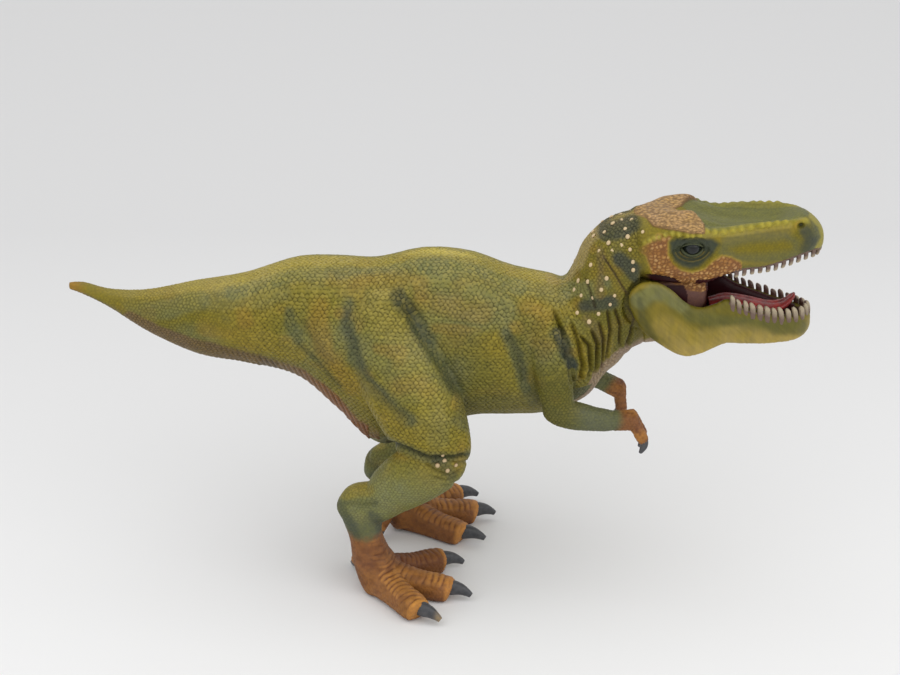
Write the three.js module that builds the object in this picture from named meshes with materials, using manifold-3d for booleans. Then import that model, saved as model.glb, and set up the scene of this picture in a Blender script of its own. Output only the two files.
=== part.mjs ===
// A standing theropod figure with an opening lower jaw, in millimetres.
// +X points to the head, +Y to the figure's left side and +Z up. The soles rest on Z = 0.
import * as THREE from 'three';
import { mergeVertices } from 'three/addons/utils/BufferGeometryUtils.js';
import Module from 'manifold-3d';

const wasm = await Module();
wasm.setup();

// Fits shared by all pieces
const SEAT_GAP = 0.3;
const OVERRUN = 30;
const WELD = 0.0001;

// Hips and tail: heights are above the soles
const HIP_HEIGHT = 87;
const HIP_DEPTH = 71;
const HIP_WIDTH = 48;
const TAIL_LENGTH = 121;
const TAIL_RISE = 25;

// Barrel of the body, from the hips to the base of the neck
const BARREL_LENGTH = 63;
const CHEST_DEPTH = 61;
const CHEST_WIDTH = 47;

// Neck, which ends in a plug for the head
const NECK_REACH = 23.5;
const NECK_RISE = 28.7;
const NECK_DEPTH = 52;
const NECK_WIDTH = 33;
const NECK_LEAN = 5.5;
const PLUG_LENGTH = 9;
const PLUG_DEPTH = 14;
const PLUG_WIDTH = 16;

// Hollow of the moulding, from the hips to its mouth in the end of the neck
const CAVITY_START = 2;
const CAVITY_HEIGHT = 91.5;
const CAVITY_RISE = 20;
const CAVITY_WIDTH = 34;
const CAVITY_DEPTH = 44;

// Upper head
const SKULL_LENGTH = 67.3;
const SKULL_DEPTH = 29.2;
const SKULL_WIDTH = 32.8;
const SKULL_LIFT = 14.1;
const LIP_WALL = 2.8;
const BROW_THICKNESS = 5.6;
const EYE_DIAMETER = 6.8;
const EYE_FORWARD = 18.4;
const EYE_LIFT = 3.6;
const EYE_SPREAD = 26.4;
const EYE_PIT_LENGTH = 16;
const EYE_PIT_HEIGHT = 11;
const EYE_PIT_DEPTH = 3.4;
const EYE_PIT_DROP = 2.75;
const NOSTRIL_DIAMETER = 3.4;
const NOSTRIL_FORWARD = 57.6;
const NOSTRIL_LIFT = 9.6;
const NOSTRIL_SPREAD = 13;

// Hinge of the lower jaw
const PIVOT_FORWARD = 5.2;
const PIVOT_DROP = 4.4;
const RECESS_DIAMETER = 23.6;
const RECESS_SPREAD = 24.2;
const PIN_DIAMETER = 3;
const PIN_LENGTH = 29;
const BLOCK_WIDTH = 22.8;
const BLOCK_REACH = 23;
const BLOCK_HEIGHT = 29;
const BLOCK_DROP = 10.8;
const PALATE_HOLLOW = 3;

// Lower jaw, measured from the hinge axis
const JAW_REACH = 56.2;
const JAW_DEPTH = 28;
const JAW_SPREAD = 30.8;
const JAW_WALL = 6;
const FLOOR_THICKNESS = 6;
const TONGUE_LENGTH = 31;
const TONGUE_WIDTH = 9.4;
const TONGUE_THICKNESS = 4.6;
const TONGUE_ROOT_FORWARD = 21.2;
const TONGUE_ROOT_DROP = 8.4;

// Teeth and their gum bars
const TOOTH_HEIGHT = 3.9;
const TOOTH_WIDTH = 2.4;
const TOOTH_PITCH = 2.9;
const TOOTH_ROOT = 1;
const GUM_WIDTH = 2.2;
const GUM_HEIGHT = 2.4;

// Legs
const THIGH_TOP_BACK = 11;
const THIGH_TOP_HEIGHT = 112.5;
const THIGH_TOP_SPREAD = 25;
const THIGH_DEPTH = 32;
const THIGH_WIDTH = 25;
const KNEE_FORWARD = 16;
const KNEE_HEIGHT = 55;
const KNEE_SPREAD = 61;
const SHANK_DEPTH = 22;
const SHANK_WIDTH = 17;
const INSTEP_DEPTH = 15;
const INSTEP_WIDTH = 13;
const HIP_PEG_DIAMETER = 12;
const HIP_PEG_DEPTH = 9;
const HIP_PEG_HEIGHT = 100;
const HIP_PEG_REACH = 3.1;

// Where each foot stands: the left one is a step ahead with its heel lower
const RIGHT_ANKLE_BACK = 15;
const RIGHT_ANKLE_HEIGHT = 35;
const RIGHT_FOOT_BACK = 10;
const RIGHT_FOOT_SPREAD = 26.5;
const RIGHT_FOOT_YAW = 15;
const LEFT_ANKLE_BACK = 7;
const LEFT_ANKLE_HEIGHT = 26.5;
const LEFT_FOOT_BACK = 1;
const LEFT_FOOT_SPREAD = 20.5;
const LEFT_FOOT_YAW = 7;

// Toes and claws
const FOOT_HEIGHT = 6;
const TOE_LENGTH = 28.5;
const TOE_WIDTH = 10.2;
const TOE_HEIGHT = 8.8;
const REAR_TOE_LENGTH = 11;
const REAR_TOE_WIDTH = 5.4;
const REAR_TOE_ROOT = 3.85;
const REAR_TOE_ANGLE = -135;
const REAR_CLAW_LENGTH = 7.4;
const CLAW_LENGTH = 10.2;
const CLAW_WIDTH = 4.8;
const CLAW_DEPTH = 6;
const CLAW_SEAT = 2.2;
const CLAW_SWING = 6;

// Arms and hands
const SHOULDER_FORWARD = 53;
const SHOULDER_HEIGHT = 100;
const SHOULDER_SPREAD = 40;
const ELBOW_FORWARD = 57.5;
const RIGHT_ELBOW_HEIGHT = 73.6;
const LEFT_ELBOW_HEIGHT = 76.5;
const ELBOW_SPREAD = 49;
const UPPER_ARM_DEPTH = 14;
const UPPER_ARM_WIDTH = 11;
const FOREARM_THICKNESS = 9.8;
const RIGHT_WRIST_FORWARD = 76;
const RIGHT_WRIST_DROP = 4;
const RIGHT_WRIST_SPREAD = 24;
const LEFT_WRIST_FORWARD = 76;
const LEFT_WRIST_DROP = 12.5;
const LEFT_WRIST_SPREAD = 21;
const HAND_LENGTH = 9.5;
const KNUCKLE_FORWARD = 8.55;
const HAND_THICKNESS = 7;
const FINGER_LENGTH = 8.6;
const FINGER_THICKNESS = 4.4;
const FINGER_SPREAD = 5;
const FINGER_CLAW_LENGTH = 6.6;
const FINGER_CLAW_WIDTH = 3;
const FINGER_CLAW_SEAT = 1.8;
const SHOULDER_PEG_DIAMETER = 6;
const SHOULDER_PEG_DEPTH = 9;
const SHOULDER_PEG_DROP = 8;

const OLIVE = { color: 0x8b8c2c, roughness: 0.6, metalness: 0 };
const JAW_GREEN = { color: 0x8f962f, roughness: 0.5, metalness: 0 };
const IVORY = { color: 0xcdb49a, roughness: 0.45, metalness: 0 };
const MAROON = { color: 0x6b1f24, roughness: 0.4, metalness: 0 };
const TONGUE_RED = { color: 0xa8262a, roughness: 0.35, metalness: 0 };
const SLATE = { color: 0x33363d, roughness: 0.4, metalness: 0 };
const EYE_BLACK = { color: 0x14171a, roughness: 0.12, metalness: 0 };
const STEEL = { color: 0xb9bcc0, roughness: 0.3, metalness: 1 };

// The values of a cross-section that a spline carries from one section to the next
const CHANNELS = ['x', 'y', 'z', 'wide', 'up', 'down', 'lean', 'power', 'lowPower', 'taper'];

// A cross-section: its centre, half widths, and how square and how tapered it is.
function section(x, y, z, wide, up, more = {}) {
  return { x, y, z, wide, up, down: up, lean: 0, power: 2.2, lowPower: 2.2, taper: 0, ...more };
}

// The cross-section at a place along the list, by a Catmull-Rom spline on each channel.
function between(stations, place) {
  const last = stations.length - 1;
  const start = Math.min(Math.floor(place), last - 1);
  const t = place - start;
  const result = {};
  for (const key of CHANNELS) {
    const b = stations[start][key];
    const c = stations[start + 1][key];
    const a = start > 0 ? stations[start - 1][key] : 2 * b - c;
    const d = start + 1 < last ? stations[start + 2][key] : 2 * c - b;
    const cubic = ((3 * (b - c) + d - a) * t + (2 * a - 5 * b + 4 * c - d)) * t + c - a;
    result[key] = b + 0.5 * t * cubic;
  }
  return result;
}

function placeOf(station) {
  return new THREE.Vector3(station.x, station.y, station.z);
}

// How far off a place, in steps between sections, the path's direction is read
const PROBE_SHARE = 0.2;

// The two directions that a cross-section lies in.
function axesAt(stations, place, frame) {
  if (frame === 'upright') {
    const lean = THREE.MathUtils.degToRad(between(stations, place).lean);
    return [new THREE.Vector3(0, 1, 0), new THREE.Vector3(-Math.sin(lean), 0, Math.cos(lean))];
  }
  const last = stations.length - 1;
  const ahead = placeOf(between(stations, Math.min(place + PROBE_SHARE, last)));
  const behind = placeOf(between(stations, Math.max(place - PROBE_SHARE, 0)));
  const along = ahead.sub(behind).normalize();
  if (frame === 'plan') {
    const up = new THREE.Vector3(0, 0, 1);
    return [new THREE.Vector3().crossVectors(up, along).normalize(), up];
  }
  const side = new THREE.Vector3(0, 1, 0).addScaledVector(along, -along.y).normalize();
  return [side, new THREE.Vector3().crossVectors(along, side)];
}

// A closed skin over cross-sections. grow widens it all round and lengthens it at both ends, and
// turn sets the first corner of each section off by a share of a side.
function loft(stations, { steps = 2, sides = 16, frame = 'path', grow = 0, turn = 0 } = {}) {
  const positions = [];
  const count = (stations.length - 1) * steps;
  for (let ring = 0; ring <= count; ring++) {
    const place = ring / steps;
    const s = between(stations, place);
    const [side, up] = axesAt(stations, place, frame);
    const centre = placeOf(s);
    if (grow && (ring === 0 || ring === count)) {
      const outward = new THREE.Vector3().crossVectors(side, up).multiplyScalar(grow);
      const inside = ring === 0 ? PROBE_SHARE : stations.length - 1 - PROBE_SHARE;
      const inner = placeOf(between(stations, inside));
      if (outward.dot(inner.sub(centre)) > 0) outward.negate();
      centre.add(outward);
    }
    for (let i = 0; i < sides; i++) {
      const angle = (2 * Math.PI * (i + turn)) / sides;
      const [c, h] = [Math.cos(angle), Math.sin(angle)];
      const power = 2 / (h < 0 ? s.lowPower : s.power);
      const rise = Math.sign(h) * Math.abs(h) ** power;
      const reach = Math.sign(c) * Math.abs(c) ** power * (1 + s.taper * rise);
      const height = rise * ((h < 0 ? s.down : s.up) + grow);
      const point = centre.clone().addScaledVector(side, reach * (s.wide + grow));
      positions.push(...point.addScaledVector(up, height).toArray());
    }
  }
  const indices = [];
  for (let ring = 0; ring < count; ring++) {
    for (let i = 0; i < sides; i++) {
      const a = ring * sides + i;
      const b = ring * sides + ((i + 1) % sides);
      indices.push(a, b, b + sides, a, b + sides, a + sides);
    }
  }
  for (let i = 1; i < sides - 1; i++) {
    const end = count * sides;
    indices.push(0, i + 1, i, end, end + i, end + i + 1);
  }
  const geometry = new THREE.BufferGeometry();
  geometry.setAttribute('position', new THREE.Float32BufferAttribute(positions, 3));
  geometry.setIndex(indices);
  return solid(geometry);
}

// Six times the volume inside a closed mesh, negative where its faces point inwards.
function signedVolume(points, indices) {
  let sum = 0;
  const corners = [new THREE.Vector3(), new THREE.Vector3(), new THREE.Vector3()];
  for (let i = 0; i < indices.length; i += 3) {
    corners.forEach((corner, k) => corner.fromArray(points, 3 * indices[i + k]));
    sum += corners[0].dot(corners[1].cross(corners[2]));
  }
  return sum;
}

// A three.js geometry as a solid that can be cut and joined.
function solid(source) {
  const geometry = source.clone();
  geometry.deleteAttribute('normal');
  geometry.deleteAttribute('uv');
  const merged = mergeVertices(geometry, WELD);
  const vertProperties = merged.getAttribute('position').array;
  const triVerts = new Uint32Array(merged.index.array);
  if (signedVolume(vertProperties, triVerts) < 0) triVerts.reverse();
  return new wasm.Manifold(new wasm.Mesh({ numProp: 3, vertProperties, triVerts }));
}

// A named mesh of a finished solid.
function piece(name, shape, look) {
  const mesh = shape.getMesh();
  const geometry = new THREE.BufferGeometry();
  geometry.setAttribute('position', new THREE.BufferAttribute(mesh.vertProperties, 3));
  geometry.setIndex(new THREE.BufferAttribute(mesh.triVerts, 1));
  const material = new THREE.MeshStandardMaterial({ ...look, flatShading: true });
  const made = new THREE.Mesh(geometry, material);
  made.name = name;
  return made;
}

function join(shapes) {
  return shapes.reduce((sum, shape) => sum.add(shape));
}

function cut(shape, cutters) {
  return cutters.reduce((rest, cutter) => rest.subtract(cutter), shape);
}

// A cylinder along Y between two places across the figure.
function barAcross(x, z, diameter, fromY, toY, sides = 16) {
  const bar = new THREE.CylinderGeometry(diameter / 2, diameter / 2, Math.abs(toY - fromY), sides);
  return solid(bar.translate(x, (fromY + toY) / 2, z));
}

function ball(x, y, z, halfX, halfY, halfZ, around = 12, down = 8) {
  const sphere = new THREE.SphereGeometry(1, around, down).rotateX(Math.PI / 2);
  return solid(sphere.scale(halfX, halfY, halfZ).translate(x, y, z));
}

// Trunk: tail, barrel and neck in one skin

// Tail shares: along the tail, rise, half depth, half width, and how wedge-shaped the underside is
const tailShares = [
  [1, 1.03, 0.035, 0.05, 2.2],
  [0.955, 0.985, 0.06, 0.11, 2.2],
  [0.88, 0.83, 0.09, 0.165, 2.1],
  [0.765, 0.625, 0.22, 0.3, 2],
  [0.617, 0.52, 0.385, 0.5, 1.9],
  [0.465, 0.51, 0.47, 0.66, 1.8],
  [0.313, 0.51, 0.625, 0.82, 1.7],
  [0.194, 0.24, 0.83, 0.94, 1.6],
  [0.069, -0.07, 1.035, 1, 1.6],
];
// Barrel shares: along the barrel, rise, half depth, half width
const barrelShares = [
  [0.14, 0.06, 1.155, 0.94],
  [0.4, 0.105, 1.01, 1],
  [0.64, 0.066, 0.9, 1],
  [0.855, 0.047, 0.842, 0.92],
];
// Neck shares: along the neck, rise, half depth, half width, lean of the section, taper to the throat
const neckShares = [
  [0.04, 0.18, 0.86, 1.2, 2, 0],
  [0.26, 0.435, 0.83, 1.07, 2.8, 0.05],
  [0.44, 0.665, 0.925, 1, 2.8, 0.1],
  [0.7, 0.9, 0.97, 0.93, 1.8, 0.15],
  [1, 1, 0.985, 0.84, 1, 0.2],
];

function trunkStations() {
  const tail = tailShares.map(([along, rise, deep, wide, lowPower]) =>
    section(-along * TAIL_LENGTH, 0, HIP_HEIGHT + rise * TAIL_RISE, (wide * HIP_WIDTH) / 2,
      (deep * HIP_DEPTH) / 2, { lowPower }));
  const barrel = barrelShares.map(([along, rise, deep, wide]) =>
    section(along * BARREL_LENGTH, 0, HIP_HEIGHT + rise * CHEST_DEPTH, (wide * CHEST_WIDTH) / 2,
      (deep * CHEST_DEPTH) / 2));
  const neck = neckShares.map(([along, rise, deep, wide, lean, taper]) =>
    section(BARREL_LENGTH + along * NECK_REACH, 0, HIP_HEIGHT + rise * NECK_RISE,
      (wide * NECK_WIDTH) / 2, (deep * NECK_DEPTH) / 2, { lean: lean * NECK_LEAN, taper }));
  return [...tail, ...barrel, ...neck];
}

// A place on the flat end of the neck, lifted along its slope and stood off from it
function onNeckEnd(lift, standOff) {
  const lean = THREE.MathUtils.degToRad(NECK_LEAN);
  const x = BARREL_LENGTH + NECK_REACH - lift * Math.sin(lean) + standOff * Math.cos(lean);
  return { x, z: HIP_HEIGHT + NECK_RISE + lift * Math.cos(lean) + standOff * Math.sin(lean) };
}

function neckPlug(grow) {
  const root = onNeckEnd(SKULL_LIFT, -PLUG_LENGTH);
  const end = onNeckEnd(SKULL_LIFT, PLUG_LENGTH);
  const shape = { lean: NECK_LEAN, power: 3, lowPower: 3 };
  return loft([
    section(root.x, 0, root.z, PLUG_WIDTH / 2, PLUG_DEPTH / 2, shape),
    section(end.x, 0, end.z, PLUG_WIDTH / 2, PLUG_DEPTH / 2, shape),
  ], { steps: 1, sides: 8, frame: 'upright', grow, turn: 0.5 });
}

// Cavity shares: along the hollow, rise, half width, half depth
const cavityShares = [
  [0, 0, 0.3, 0.27],
  [0.106, 0, 0.76, 0.73],
  [0.3, 0.03, 1, 1],
  [0.48, 0.05, 0.76, 0.95],
  [0.64, 0.1, 0.72, 0.78],
  [0.766, 0.62, 0.65, 0.68],
  [0.872, 0.87, 0.58, 0.45],
  [1, 0.95, 0.56, 0.42],
];

function cavity() {
  const length = onNeckEnd(0, PLUG_LENGTH).x - CAVITY_START;
  return loft(cavityShares.map(([along, rise, wide, deep]) =>
    section(CAVITY_START + along * length, 0, CAVITY_HEIGHT + rise * CAVITY_RISE,
      (wide * CAVITY_WIDTH) / 2, (deep * CAVITY_DEPTH) / 2)),
  { steps: 1, sides: 10, frame: 'upright' });
}

const pivot = { x: onNeckEnd(0, 0).x + PIVOT_FORWARD, z: onNeckEnd(0, 0).z - PIVOT_DROP };

function jawRecesses() {
  return [-1, 1].map((side) => barAcross(pivot.x, pivot.z, RECESS_DIAMETER,
    (side * RECESS_SPREAD) / 2, side * OVERRUN, 20));
}

function trunkSkin(grow) {
  return loft(trunkStations(), { steps: 2, sides: 20, frame: 'upright', grow });
}

// Upper head

// Skull shares: along the head, rise, half depth, half width, lean, squareness above and below
const skullShares = [
  [0, 0, 0.815, 0.86, 1, 2.2, 2.4],
  [0.07, 0, 0.895, 0.96, 0.6, 2.3, 2.5],
  [0.16, 0.022, 0.94, 1, 0.3, 2.4, 2.6],
  [0.26, 0.045, 0.975, 1, 0, 2.5, 3],
  [0.36, 0.025, 0.89, 0.95, 0, 2.6, 3.6],
  [0.45, 0.043, 0.72, 0.88, 0, 2.8, 4.5],
  [0.55, 0.073, 0.66, 0.81, 0, 2.9, 5],
  [0.67, 0.09, 0.64, 0.745, 0, 2.9, 5],
  [0.785, 0.138, 0.605, 0.67, 0, 2.8, 4.5],
  [0.885, 0.162, 0.51, 0.56, 0, 2.6, 4],
  [0.95, 0.128, 0.4, 0.43, 0, 2.4, 3.2],
  [0.987, 0.09, 0.27, 0.29, 0, 2.2, 2.4],
  [1, 0.075, 0.12, 0.12, 0, 2.2, 2.2],
];

function skullStations() {
  const base = onNeckEnd(SKULL_LIFT, SEAT_GAP);
  return skullShares.map(([along, rise, deep, wide, lean, power, lowPower]) =>
    section(base.x + along * SKULL_LENGTH, 0, base.z + rise * SKULL_DEPTH,
      (wide * SKULL_WIDTH) / 2, (deep * SKULL_DEPTH) / 2,
      { lean: lean * NECK_LEAN, power, lowPower }));
}

// The skull's section at a share of its length
function skullAt(share) {
  const stations = skullStations();
  let place = 0;
  while (place < skullShares.length - 2 && skullShares[place + 1][0] <= share) place++;
  const [from, to] = [skullShares[place][0], skullShares[place + 1][0]];
  return between(stations, place + (share - from) / (to - from));
}

// Ridge shares: along the head, out from the middle, up from the section's centre, half thickness
const ridgeShares = [
  [0.09, 0.68, 0.62, 0.3],
  [0.17, 0.82, 0.59, 0.75],
  [0.27, 0.84, 0.61, 0.95],
  [0.36, 0.8, 0.61, 0.85],
  [0.45, 0.78, 0.73, 0.62],
  [0.58, 0.78, 0.84, 0.56],
  [0.7, 0.76, 0.84, 0.54],
  [0.81, 0.72, 0.8, 0.5],
  [0.88, 0.62, 0.74, 0.3],
];

function browRidge(side) {
  return loft(ridgeShares.map(([along, out, up, thick]) => {
    const s = skullAt(along);
    const half = (thick * BROW_THICKNESS) / 2;
    return section(s.x, side * out * s.wide, s.z + up * s.up, half, half);
  }), { steps: 1, sides: 6 });
}

// Palate shares: along the head, and how much of the width between the lips is hollow
const palateShares = [
  [0.4, 1],
  [0.5, 1],
  [0.62, 1],
  [0.74, 1],
  [0.84, 0.97],
  [0.9, 0.8],
];

// The hollow in the roof of the mouth, between the lips
function palate() {
  const half = (PALATE_HOLLOW + OVERRUN) / 2;
  return loft(palateShares.map(([along, across]) => {
    const s = skullAt(along);
    return section(s.x, 0, s.z - s.down + PALATE_HOLLOW - half, across * (s.wide - LIP_WALL), half,
      { power: 5, lowPower: 5 });
  }), { steps: 1, sides: 8, frame: 'upright', turn: 0.5 });
}

function eyePlace(side) {
  const base = onNeckEnd(SKULL_LIFT, SEAT_GAP);
  return [base.x + EYE_FORWARD, (side * EYE_SPREAD) / 2, base.z + EYE_LIFT];
}

function eyeBall(side, grow) {
  const r = EYE_DIAMETER / 2 + grow;
  return ball(...eyePlace(side), r, r, r);
}

function eyePit(side) {
  const [x, , z] = eyePlace(side);
  return ball(x, (side * SKULL_WIDTH) / 2, z - EYE_PIT_DROP, EYE_PIT_LENGTH / 2, EYE_PIT_DEPTH,
    EYE_PIT_HEIGHT / 2);
}

function nostril(side) {
  const base = onNeckEnd(SKULL_LIFT, SEAT_GAP);
  const r = NOSTRIL_DIAMETER / 2;
  return ball(base.x + NOSTRIL_FORWARD, (side * NOSTRIL_SPREAD) / 2, base.z + NOSTRIL_LIFT, r, r, r,
    8, 6);
}

// Block shares: along the block, half width, top and bottom
const blockShares = [
  [0, 1, 0.5, -0.46],
  [0.28, 1, 0.5, -0.43],
  [0.37, 1, 0.5, -0.4],
  [0.4, 1, 0.5, -0.26],
  [0.6, 0.98, 0.5, -0.2],
  [0.78, 0.94, 0.5, -0.12],
  [0.94, 0.88, 0.49, 0],
  [1, 0.84, 0.47, 0.07],
];

function hingeBlock(grow) {
  const base = onNeckEnd(-BLOCK_DROP, SEAT_GAP);
  return loft(blockShares.map(([along, wide, top, bottom]) =>
    section(base.x + along * BLOCK_REACH, 0, base.z + ((top + bottom) / 2) * BLOCK_HEIGHT,
      (wide * BLOCK_WIDTH) / 2, ((top - bottom) / 2) * BLOCK_HEIGHT,
      { lean: NECK_LEAN * (1 - along), power: 4, lowPower: 3 })),
  { steps: 1, sides: 12, frame: 'upright', grow });
}

// Lower jaw

// Mandible shares from behind the hinge to the chin: forward of the hinge, out, top, bottom, wall
const mandibleShares = [
  [-0.172, 0.97, 0.15, 0.03, 0.4],
  [-0.145, 0.98, 0.25, -0.11, 0.74],
  [-0.075, 0.99, 0.33, -0.35, 0.92],
  [0.02, 1, 0.315, -0.51, 0.97],
  [0.11, 0.99, 0.2, -0.635, 1],
  [0.2, 0.965, 0.035, -0.715, 1],
  [0.29, 0.92, -0.035, -0.7, 0.97],
  [0.38, 0.85, -0.01, -0.635, 0.93],
  [0.47, 0.77, 0.045, -0.58, 0.88],
  [0.58, 0.69, -0.07, -0.605, 0.84],
  [0.71, 0.61, -0.16, -0.625, 0.84],
  [0.835, 0.5, -0.235, -0.632, 0.84],
  [0.925, 0.37, -0.265, -0.63, 0.84],
  [0.98, 0.19, -0.275, -0.61, 0.84],
];
const chinShares = [1, 0, -0.275, -0.6, 0.84];

function mandibleStation([forward, out, top, bottom, wall], side) {
  return section(pivot.x + forward * JAW_REACH, (side * out * JAW_SPREAD) / 2,
    pivot.z + ((top + bottom) / 2) * JAW_DEPTH, (wall * JAW_WALL) / 2,
    ((top - bottom) / 2) * JAW_DEPTH, { power: 2.6, lowPower: 2.3 });
}

function mandibleStations() {
  const right = mandibleShares.map((row) => mandibleStation(row, -1));
  const left = mandibleShares.map((row) => mandibleStation(row, 1)).reverse();
  return [...right, mandibleStation(chinShares, 0), ...left];
}

// Mouth floor shares: forward of the hinge, out from the middle, top, thickness
const floorShares = [
  [0.12, 0.84, -0.53, 0.5],
  [0.22, 0.86, -0.47, 0.75],
  [0.31, 0.82, -0.43, 0.9],
  [0.42, 0.74, -0.32, 1.1],
  [0.56, 0.62, -0.3, 1.1],
  [0.72, 0.53, -0.33, 1],
  [0.86, 0.4, -0.37, 0.9],
  [0.94, 0.2, -0.4, 0.7],
];

function jawFloor() {
  return loft(floorShares.map(([forward, out, top, thick]) => {
    const half = (thick * FLOOR_THICKNESS) / 2;
    return section(pivot.x + forward * JAW_REACH, 0, pivot.z + top * JAW_DEPTH - half,
      (out * JAW_SPREAD) / 2, half, { power: 4, lowPower: 3 });
  }), { steps: 1, sides: 14, frame: 'upright' });
}

// Tongue shares: along the tongue, rise of its top, half width, half thickness
const tongueShares = [
  [0, 0.6, 0.8, 0.8],
  [0.2, 0.85, 1, 1],
  [0.45, 0.6, 1, 1],
  [0.7, 0.3, 0.9, 0.85],
  [0.87, 0.55, 0.72, 0.6],
  [0.97, 1.15, 0.5, 0.4],
  [1, 1.5, 0.2, 0.2],
];

function tongueShape(grow) {
  const start = { x: pivot.x + TONGUE_ROOT_FORWARD, z: pivot.z - TONGUE_ROOT_DROP };
  return loft(tongueShares.map(([along, rise, wide, thick]) =>
    section(start.x + along * TONGUE_LENGTH, 0, start.z + rise * TONGUE_THICKNESS,
      (wide * TONGUE_WIDTH) / 2, (thick * TONGUE_THICKNESS) / 2)), { steps: 1, sides: 12, grow });
}

// Teeth

// The square bar that the teeth of a row stand on
function gumBar(path) {
  return loft(path, { steps: 1, sides: 4, frame: 'plan', turn: 0.5 });
}

// A gum bar with a row of curved teeth, along a path of sections from the right rear to the left rear
function toothRow(path, toward, heightShares) {
  const bar = gumBar(path);
  const curve = new THREE.CatmullRomCurve3(path.map(placeOf), false, 'catmullrom', 0.5);
  const count = Math.round(curve.getLength() / TOOTH_PITCH);
  const teeth = [];
  for (let i = 0; i < count; i++) {
    const share = (i + 0.5) / count;
    const fromFront = Math.abs(2 * share - 1);
    const [front, rear] = heightShares;
    const tall = TOOTH_HEIGHT * (front + (rear - front) * fromFront * fromFront);
    teeth.push(tooth(curve.getPointAt(share), curve.getTangentAt(share), toward, tall));
  }
  return join([bar, ...teeth]);
}

// Shares of one tooth: along it, its width, and how far its tip curls back
const toothShares = [
  [0, 0.92, 0],
  [0.62, 0.84, 0.06],
  [1, 0.32, 0.25],
];
const TOOTH_FLAT_SHARE = 0.85;
// Height of the front and of the rear teeth
const upperToothShares = [0.95, 0.75];
const lowerToothShares = [0.85, 0.6];

function tooth(root, along, toward, tall) {
  const inward = new THREE.Vector3(-1, 0, 0);
  const length = tall + TOOTH_ROOT;
  const stations = toothShares.map(([share, wide, curl]) => {
    const at = root.clone().addScaledVector(inward, curl * TOOTH_WIDTH);
    const z = root.z + toward * (share * length);
    const half = (wide * TOOTH_WIDTH) / 2;
    return section(at.x, at.y, z, half, half * TOOTH_FLAT_SHARE);
  });
  return loft(stations, { steps: 1, sides: 4, turn: 0.5 });
}

// Where the upper gum bar has its corners, along the head, and how high it sits in the lip
const upperGumShares = [0.5, 0.59, 0.68, 0.77, 0.85, 0.91, 0.95];
const UPPER_FRONT_SHARE = 0.978;
const UPPER_SEAT_SHARE = 0.3;

function upperGumPath(grow) {
  const stationOf = (share, side) => {
    const s = skullAt(share);
    return section(s.x, side * (s.wide - LIP_WALL / 2 - SEAT_GAP),
      s.z - s.down + GUM_HEIGHT * UPPER_SEAT_SHARE, GUM_WIDTH / 2 + grow, GUM_HEIGHT / 2 + grow,
      { power: 12, lowPower: 12 });
  };
  const front = skullAt(UPPER_FRONT_SHARE);
  const right = upperGumShares.map((share) => stationOf(share, -1));
  const left = upperGumShares.map((share) => stationOf(share, 1)).reverse();
  const middle = section(front.x, 0, front.z - front.down + GUM_HEIGHT * UPPER_SEAT_SHARE,
    GUM_WIDTH / 2 + grow, GUM_HEIGHT / 2 + grow, { power: 12, lowPower: 12 });
  return [...right, middle, ...left];
}

// The lower gum bar stands outside the middle of the jaw's rim and is sunk into it
const LOWER_OUT_SHARE = 0.1;
const LOWER_SEAT_SHARE = 0.34;
const FIRST_TOOTHED_STATION = 8;

function lowerGumPath(grow) {
  const all = mandibleStations();
  const toothed = all.slice(FIRST_TOOTHED_STATION, all.length - FIRST_TOOTHED_STATION);
  const out = JAW_WALL * LOWER_OUT_SHARE;
  return toothed.map((s) => {
    const side = Math.sign(s.y);
    return section(s.x + (side === 0 ? out : 0), s.y + side * out,
      s.z + s.up - GUM_HEIGHT * LOWER_SEAT_SHARE, GUM_WIDTH / 2 + grow, GUM_HEIGHT / 2 + grow,
      { power: 12, lowPower: 12 });
  });
}

// Legs

// A straight limb between two joints, with sections in shares of its depth and width.
// Rows: along, shift to the front, half depth, half width.
function limb(from, to, depth, width, rows, options = {}) {
  const along = new THREE.Vector3().subVectors(to, from);
  const side = new THREE.Vector3(0, 1, 0).addScaledVector(along, -along.y / along.lengthSq());
  const front = new THREE.Vector3().crossVectors(along, side.normalize()).normalize();
  return loft(rows.map(([share, shift, deep, wide]) => {
    const at = from.clone().addScaledVector(along, share);
    at.addScaledVector(front, (shift * depth) / 2);
    return section(at.x, at.y, at.z, (wide * width) / 2, (deep * depth) / 2);
  }), { steps: 1, ...options });
}

const thighShares = [
  [-0.03, 0, 0.4, 0.3],
  [0.03, 0, 0.74, 0.52],
  [0.12, 0.01, 0.89, 0.68],
  [0.25, 0.02, 0.98, 0.86],
  [0.4, 0.01, 1.01, 0.97],
  [0.58, 0.01, 1, 1],
  [0.76, 0.03, 0.92, 0.94],
  [0.92, 0.05, 0.72, 0.79],
  [1.005, -0.02, 0.5, 0.6],
  [1.06, -0.02, 0.25, 0.3],
];
const shankShares = [
  [-0.2, 0, 0.3, 0.35],
  [-0.1, 0, 0.62, 0.75],
  [0.05, -0.05, 0.85, 0.98],
  [0.3, -0.13, 0.98, 1.06],
  [0.58, -0.05, 0.88, 1],
  [0.78, 0.1, 0.71, 0.85],
  [1, -0.06, 0.79, 0.8],
  [1.14, -0.12, 0.54, 0.6],
  [1.21, -0.12, 0.26, 0.3],
];
const instepShares = [
  [-0.18, 0, 0.5, 0.5],
  [-0.05, 0, 0.9, 0.85],
  [0.12, 0, 1, 1],
  [0.4, -0.06, 0.8, 0.95],
  [0.7, -0.01, 0.93, 1.1],
  [0.95, 0.2, 1.07, 1.3],
  [1.15, 0.3, 1, 1.3],
];
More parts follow.
